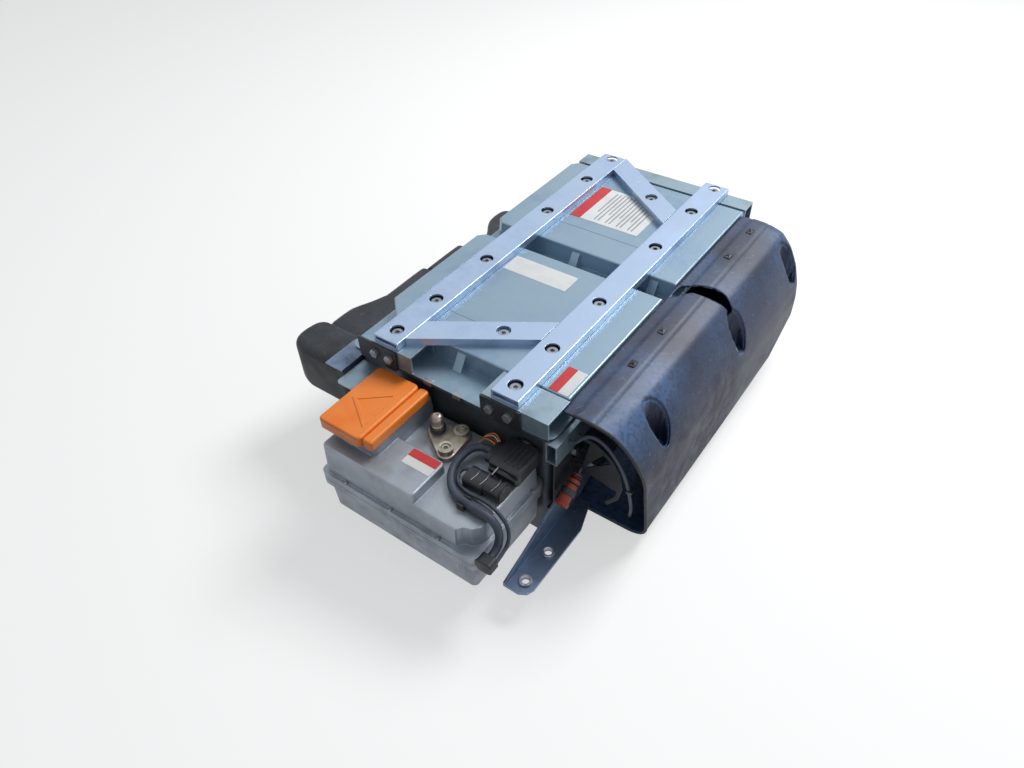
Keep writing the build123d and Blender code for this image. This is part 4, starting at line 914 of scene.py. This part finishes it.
@dataclass
class Leads:
    """The leads held by the module, as smooth curves along their routes, with the little bare wires."""

    harness: tuple[tuple[float, float, float], ...] = (
        (99, -268, 165), (83, -268, 165), (71, -277, 164), (67, -292, 162), (67, -309, 160),
        (73, -326, 158.5), (86, -341, 158), (103, -349, 158), (122, -351, 158), (141, -352, 159),
        (157, -352, 157),
        (166, -351, 143), (168, -352, 125), (168, -360, 110), (168, -374, 110))
    thin: tuple[tuple[float, float, float], ...] = (
        (92, -307, 161), (84, -307, 161), (79, -315, 159), (82, -325, 156), (93, -332, 155), (110, -335, 155),
        (129, -334, 156), (146, -336, 157), (160, -338, 152), (172, -340, 141), (178, -345, 126),
        (178, -355, 113), (178, -374, 110))
    duct: tuple[tuple[float, float, float], ...] = (
        (181, -217, 189), (190, -217, 189), (199, -214, 203), (213, -212, 212), (230, -211, 206),
        (244, -209, 189), (254, -206, 168), (260, -202, 144), (263, -195, 112), (263, -186, 78),
        (258, -176, 50), (252, -165, 34), (250, -158, 20.8))
    colours: tuple[str, ...] = ("sticker_yellow", "sticker_red", "sticker_white", "orange_moulding")
    harness_diameter: float = 11.0
    thin_diameter: float = 5.0
    wire_spacing: float = 3.2
    wire_radius: float = 1.0

    def curve(self, name: str, points: Sequence[Sequence[float]], diameter: float) -> bpy.types.Object:
        """A round lead on a smooth spline with the route's points as its control points.

        Args:
            name: The piece's name.
            points: The route in millimetres.
            diameter: The lead's diameter in millimetres.

        Returns:
            The curve object.
        """
        data = bpy.data.curves.new(name, "CURVE")
        data.dimensions = "3D"
        data.bevel_depth = diameter * MM / 2
        data.bevel_resolution = 4
        data.use_fill_caps = True
        spline = data.splines.new("NURBS")
        spline.points.add(len(points) - 1)
        flat = np.column_stack((np.array(points, float) * MM, np.ones(len(points))))
        spline.points.foreach_set("co", flat.ravel())
        spline.order_u = 3
        spline.use_endpoint_u = True
        spline.resolution_u = 8
        made = bpy.data.objects.new(name, data)
        bpy.context.scene.collection.objects.link(made)
        return made

    def build(self, shop: Workshop) -> None:
        """Makes the leads and the bare wires between the terminals and the hood.

        Args:
            shop: Where finishes are kept.
        """
        routes = (("harness_sleeve", self.harness, self.harness_diameter, "harness"),
                  ("thin_sleeve", self.thin, self.thin_diameter, "thin_lead"),
                  ("duct_sleeve", self.duct, self.thin_diameter, "duct_lead"))
        for name, route, diameter, node in routes:
            shop.fit(self.curve(name, route, diameter), "taped_sleeve", (node,))
        for number, finish in enumerate(self.colours):
            offset = number * self.wire_spacing
            path = smooth_path(((101.0, -262.0 + offset * 0.7, 170.0 + offset * 0.4),
                                (88.0, -259.0 + offset, 171.0 + offset * 0.5),
                                (74.0, -256.0 + offset * 0.6, 163.0 + offset * 0.3),
                                (66.0, -262.0 + offset * 1.6, 152.0)), 8)
            points, faces = tube_along(path, self.wire_radius, 8)
            shop.fit(mesh_object(f"bare_wire_{number}", points, faces), finish)


@dataclass
class Sticker:
    """A plain sticker: a white plate with a colour band and rows of faint bars, with no lettering."""

    name: str
    corner: tuple[float, float]
    along: tuple[float, float]
    across: tuple[float, float]
    level: float
    band: str | None
    band_share: float = 0.24
    marks: int = 0
    thickness: float = 0.35

    def place(self, u: float, v: float) -> tuple[float, float]:
        """The point at share u along and v across the sticker."""
        return (self.corner[0] + self.along[0] * u + self.across[0] * v,
                self.corner[1] + self.along[1] * u + self.across[1] * v)

    def quad(self, u0: float, u1: float, v0: float, v1: float) -> list[tuple[float, float]]:
        """Four corners of a patch of the sticker, anticlockwise from above."""
        corners = [self.place(u0, v0), self.place(u1, v0), self.place(u1, v1), self.place(u0, v1)]
        turn = self.along[0] * self.across[1] - self.along[1] * self.across[0]
        return corners if turn > 0 else corners[::-1]

    def build(self, shop: Workshop) -> None:
        """Makes the plate, its band and its bars.

        Args:
            shop: Where finishes are kept.
        """
        sheet = rounded_plate(self.name, self.quad(0, 1, 0, 1), self.level, self.thickness, 2.0)
        shop.fit(sheet, "sticker_white")
        if self.band:
            band = rounded_plate(f"{self.name}_band", self.quad(0.0, 1.0, 0.0, self.band_share),
                                 self.level + 0.15, self.thickness, 1.5)
            shop.fit(band, self.band)
        top = self.band_share + 0.1 if self.band else 0.12
        for row in range(self.marks):
            v = top + (0.92 - top) * (row + 0.3) / self.marks
            end = 0.93 if row % 3 else 0.7
            bar = rounded_plate(f"{self.name}_bar_{row}", self.quad(0.07, end, v, v + 0.018),
                                self.level + 0.2, 0.25, 0.2)
            shop.fit(bar, "sticker_ink")


@dataclass
class TopDeck:
    """What lies on the cover: stickers and pressed lines."""

    plateau: float = 233.0
    lid: float = 166.0

    def stickers(self) -> list[Sticker]:
        """The four stickers, each from a corner with its long and short side."""
        deck, lid = self.plateau + 0.05, self.lid + 0.05
        return [
            Sticker("cover_sticker_wide", (-73.0, 290.0), (0.0, -107.0), (126.0, 0.0), deck,
                    "sticker_red", 0.16, 12),
            Sticker("cover_sticker_middle", (-75.0, 35.0), (112.0, 0.0), (0.0, -39.0), deck, None, 0.0, 0),
            Sticker("cover_sticker_small", (131.0, -139.0), (0.0, -50.0), (29.0, 0.0), deck,
                    "sticker_red", 0.5),
            Sticker("lid_sticker", (10.0, -322.0), (46.0, 0.0), (0.0, -27.0), lid, "sticker_red", 0.5),
        ]

    def pressed_lines(self, shop: Workshop) -> None:
        """Shallow pressed ridges cross the plateaus: thin rounded strips that stand 0.4 mm proud.

        Args:
            shop: Where finishes are kept.
        """
        strips = (("press_line_front", (-77.0, -131.0), (77.0, -131.0)),
                  ("press_line_rear", (-77.0, 157.0), (77.0, 157.0)),
                  ("press_line_side", (134.0, 112.0), (134.0, 330.0)),
                  ("press_line_left", (-134.0, -150.0), (-134.0, 48.0)))
        for name, start, end in strips:
            first, last = np.array(start), np.array(end)
            across = np.array((-(last - first)[1], (last - first)[0])) / np.linalg.norm(last - first) * 0.8
            corners = (first - across, last - across, last + across, first + across)
            strip = rounded_plate(name, [tuple(corner) for corner in corners], self.plateau - 0.1, 0.5, 0.7)
            shop.fit(strip, "pressed_cover")

    def build(self, shop: Workshop) -> None:
        """Makes everything on the cover."""
        for sticker in self.stickers():
            sticker.build(shop)
        self.pressed_lines(shop)


@dataclass
class Connectors:
    """Latches and lock wires on the connectors, and the red sensor connector's seals."""

    main: tuple[float, float, float, float, float] = (107.0, 156.0, -293.0, -240.0, 179.5)
    second: tuple[float, float, float, float, float] = (92.0, 150.0, -327.0, -299.0, 168.0)
    sensor_rear: tuple[float, float, float] = (192.0, -209.0, 123.0)
    sensor_front: tuple[float, float, float] = (192.0, -251.0, 101.0)

    def wire(self, shop: Workshop, name: str, points: Sequence[Sequence[float]], radius: float,
             finish: str) -> None:
        """A thin bent wire through the given points.

        Args:
            shop: Where finishes are kept.
            name: The piece's name.
            points: The points it passes.
            radius: Its radius in millimetres.
            finish: Name of its finish.
        """
        ring, faces = tube_along(smooth_path(points, 6), radius, 8)
        shop.fit(mesh_object(name, ring, faces), finish)

    def build(self, shop: Workshop) -> None:
        """Makes the latches, the lock wires and the seals.

        Args:
            shop: Where finishes are kept.
        """
        left, right, front, rear, top = self.main
        outline = ((left + 15, rear - 2), (right - 15, rear - 2),
                   (right - 15, rear + 3), (left + 15, rear + 3))
        shop.fit(rounded_plate("main_latch", outline, top - 8, 8.0, 1.5), "black_moulding")
        outline = ((left + 4, front - 4), (right - 2, front - 4),
                   (right - 2, front + 8), (left + 4, front + 8))
        shop.fit(rounded_plate("main_lever", outline, top - 16, 9.0, 2.0), "black_moulding")
        bend = ((left + 18, front + 3, top - 4), (left + 17, front - 5, top - 7),
                (left + 16, front - 12, top - 9))
        self.wire(shop, "main_lock_wire", bend, 0.7, "zinc_screw")
        left, right, front, rear, top = self.second
        middle = (front + rear) / 2
        for number, x in enumerate((left + 12, left + 26, right - 14)):
            bend = ((x, front + 3, top - 1), (x + 3, middle, top + 1.2), (x, rear - 3, top - 1))
            self.wire(shop, f"second_lock_wire_{number}", bend, 0.6, "zinc_screw")
        rear_end, front_end = np.array(self.sensor_rear), np.array(self.sensor_front)
        axis = (rear_end - front_end) / np.linalg.norm(rear_end - front_end)
        side = np.array((1.0, 0.0, 0.0))
        up = np.cross(axis, side)
        turn = np.linspace(0, 2 * math.pi, 49)[:, None]
        for number, (reach, radius) in enumerate(((33.0, 7.7), (41.0, 6.9), (44.0, 6.9))):
            ring = front_end + axis * reach + radius * (np.cos(turn) * side + np.sin(turn) * up)
            points, faces = tube_along(ring, 1.1, 10)
            shop.fit(mesh_object(f"sensor_seal_{number}", points, faces), "foam_seal")


@dataclass
class Studio:
    """The floor, the lamps, the world and the camera."""

    place: tuple[float, float, float] = (0.532, -0.795, 0.922)
    lens: float = 27.49
    azimuth: float = 37.12
    elevation: float = 43.12
    roll: float = -2.36
    glow: float = 0.57
    fill_light: float = 0.22
    floor_grey: tuple[float, float, float, float] = (0.52, 0.52, 0.525, 1.0)
    sky_colour: tuple[float, float, float, float] = (0.93, 0.965, 1.0, 1.0)
    floor_half: float = 6000.0

    def camera(self) -> None:
        """Sets the camera by its azimuth, elevation and roll about its own line of sight."""
        angles = (self.azimuth, self.elevation, self.roll)
        azimuth, elevation, roll = (math.radians(angle) for angle in angles)
        sight = Vector((-math.sin(azimuth) * math.cos(elevation), math.cos(azimuth) * math.cos(elevation),
                        -math.sin(elevation)))
        level = Vector((math.cos(azimuth), math.sin(azimuth), 0.0))
        upright = level.cross(sight)
        right = math.cos(roll) * level + math.sin(roll) * upright
        up = -math.sin(roll) * level + math.cos(roll) * upright
        data = bpy.data.cameras.new("studio_camera")
        data.lens = self.lens
        data.sensor_width = 36.0
        data.clip_start = 0.01
        made = bpy.data.objects.new("studio_camera", data)
        bpy.context.scene.collection.objects.link(made)
        turned = Matrix((right, up, -sight)).transposed().to_4x4()
        made.matrix_world = Matrix.Translation(self.place) @ turned
        bpy.context.scene.camera = made

    def seen_rays(self, tree: bpy.types.NodeTree) -> bpy.types.NodeSocket:
        """One where a ray comes from the camera, a glossy surface or glass, else nought.

        Args:
            tree: The node tree that the nodes go into.

        Returns:
            The output that holds the one or nought.
        """
        path = tree.nodes.new("ShaderNodeLightPath")
        total = path.outputs["Is Camera Ray"]
        for label in ("Is Glossy Ray", "Is Transmission Ray"):
            larger = tree.nodes.new("ShaderNodeMath")
            larger.operation = "MAXIMUM"
            tree.links.new(total, larger.inputs[0])
            tree.links.new(path.outputs[label], larger.inputs[1])
            total = larger.outputs[0]
        return total

    def floor(self) -> None:
        """A pale floor: a diffuse share takes the shadow and a glow seen by the camera keeps it white."""
        material = bpy.data.materials.new("floor_paper")
        material.use_nodes = True
        tree = material.node_tree
        shader = tree.nodes["Principled BSDF"]
        shader.inputs["Base Color"].default_value = self.floor_grey
        shader.inputs["Roughness"].default_value = 1.0
        shader.inputs["Specular IOR Level"].default_value = 0.0
        shader.inputs["Emission Color"].default_value = (1.0, 1.0, 1.0, 1.0)
        glow = tree.nodes.new("ShaderNodeMath")
        glow.operation = "MULTIPLY"
        glow.inputs[1].default_value = self.glow
        tree.links.new(self.seen_rays(tree), glow.inputs[0])
        tree.links.new(glow.outputs[0], shader.inputs["Emission Strength"])
        side = np.linspace(-self.floor_half, self.floor_half, 9)
        x, y = np.meshgrid(side, side)
        points = np.column_stack((x.ravel(), y.ravel(), np.full(x.size, -0.2)))
        paper = mesh_object("floor", points, grid_faces(9, 9).tolist())
        paper.data.materials.append(material)

    def world(self) -> None:
        """A pale sky for fill light, white where the camera or a glossy surface sees it."""
        made = bpy.data.worlds.new("pale_sky")
        bpy.context.scene.world = made
        made.use_nodes = True
        tree = made.node_tree
        back = tree.nodes["Background"]
        back.inputs["Color"].default_value = self.sky_colour
        strength = tree.nodes.new("ShaderNodeMapRange")
        strength.inputs["To Min"].default_value = self.fill_light
        strength.inputs["To Max"].default_value = 1.0
        tree.links.new(self.seen_rays(tree), strength.inputs["Value"])
        tree.links.new(strength.outputs["Result"], back.inputs["Strength"])

    def lamp(self, name: str, place: Sequence[float], size: float, power: float,
             colour: Sequence[float] = (1.0, 1.0, 1.0)) -> None:
        """A square area lamp that faces the module.

        Args:
            name: The lamp's name.
            place: Its place in metres.
            size: Its side in metres.
            power: Its power in watts.
            colour: Its colour.
        """
        data = bpy.data.lights.new(name, "AREA")
        data.size = size
        data.energy = power
        data.color = colour
        made = bpy.data.objects.new(name, data)
        made.location = place
        made.rotation_euler = (Vector((0.0, 0.0, 0.1)) - Vector(place)).to_track_quat("-Z", "Y").to_euler()
        bpy.context.scene.collection.objects.link(made)

    def build(self) -> None:
        """Sets up the studio."""
        self.camera()
        self.floor()
        self.world()
        self.lamp("key_lamp", (0.55, 1.6, 2.3), 1.2, 64.0)
        self.lamp("side_lamp", (2.2, -0.1, 1.2), 1.2, 3.0, (0.95, 0.97, 1.0))
        bpy.context.scene.view_settings.view_transform = "Standard"


def main() -> None:
    """Builds the studio and every sub-assembly in order and reports each piece."""
    logging.basicConfig(level=logging.INFO, format="%(name)s: %(message)s")
    Studio().build()
    shop = Workshop()
    shop.prepare()
    shop.dress_nodes()
    for assembly in (IntakeShroud(), OutletDuct(), Leads(), TopDeck(), Connectors()):
        assembly.build(shop)
        log.info("finished %s", type(assembly).__name__)
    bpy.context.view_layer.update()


if __name__ == "__main__":
    main()
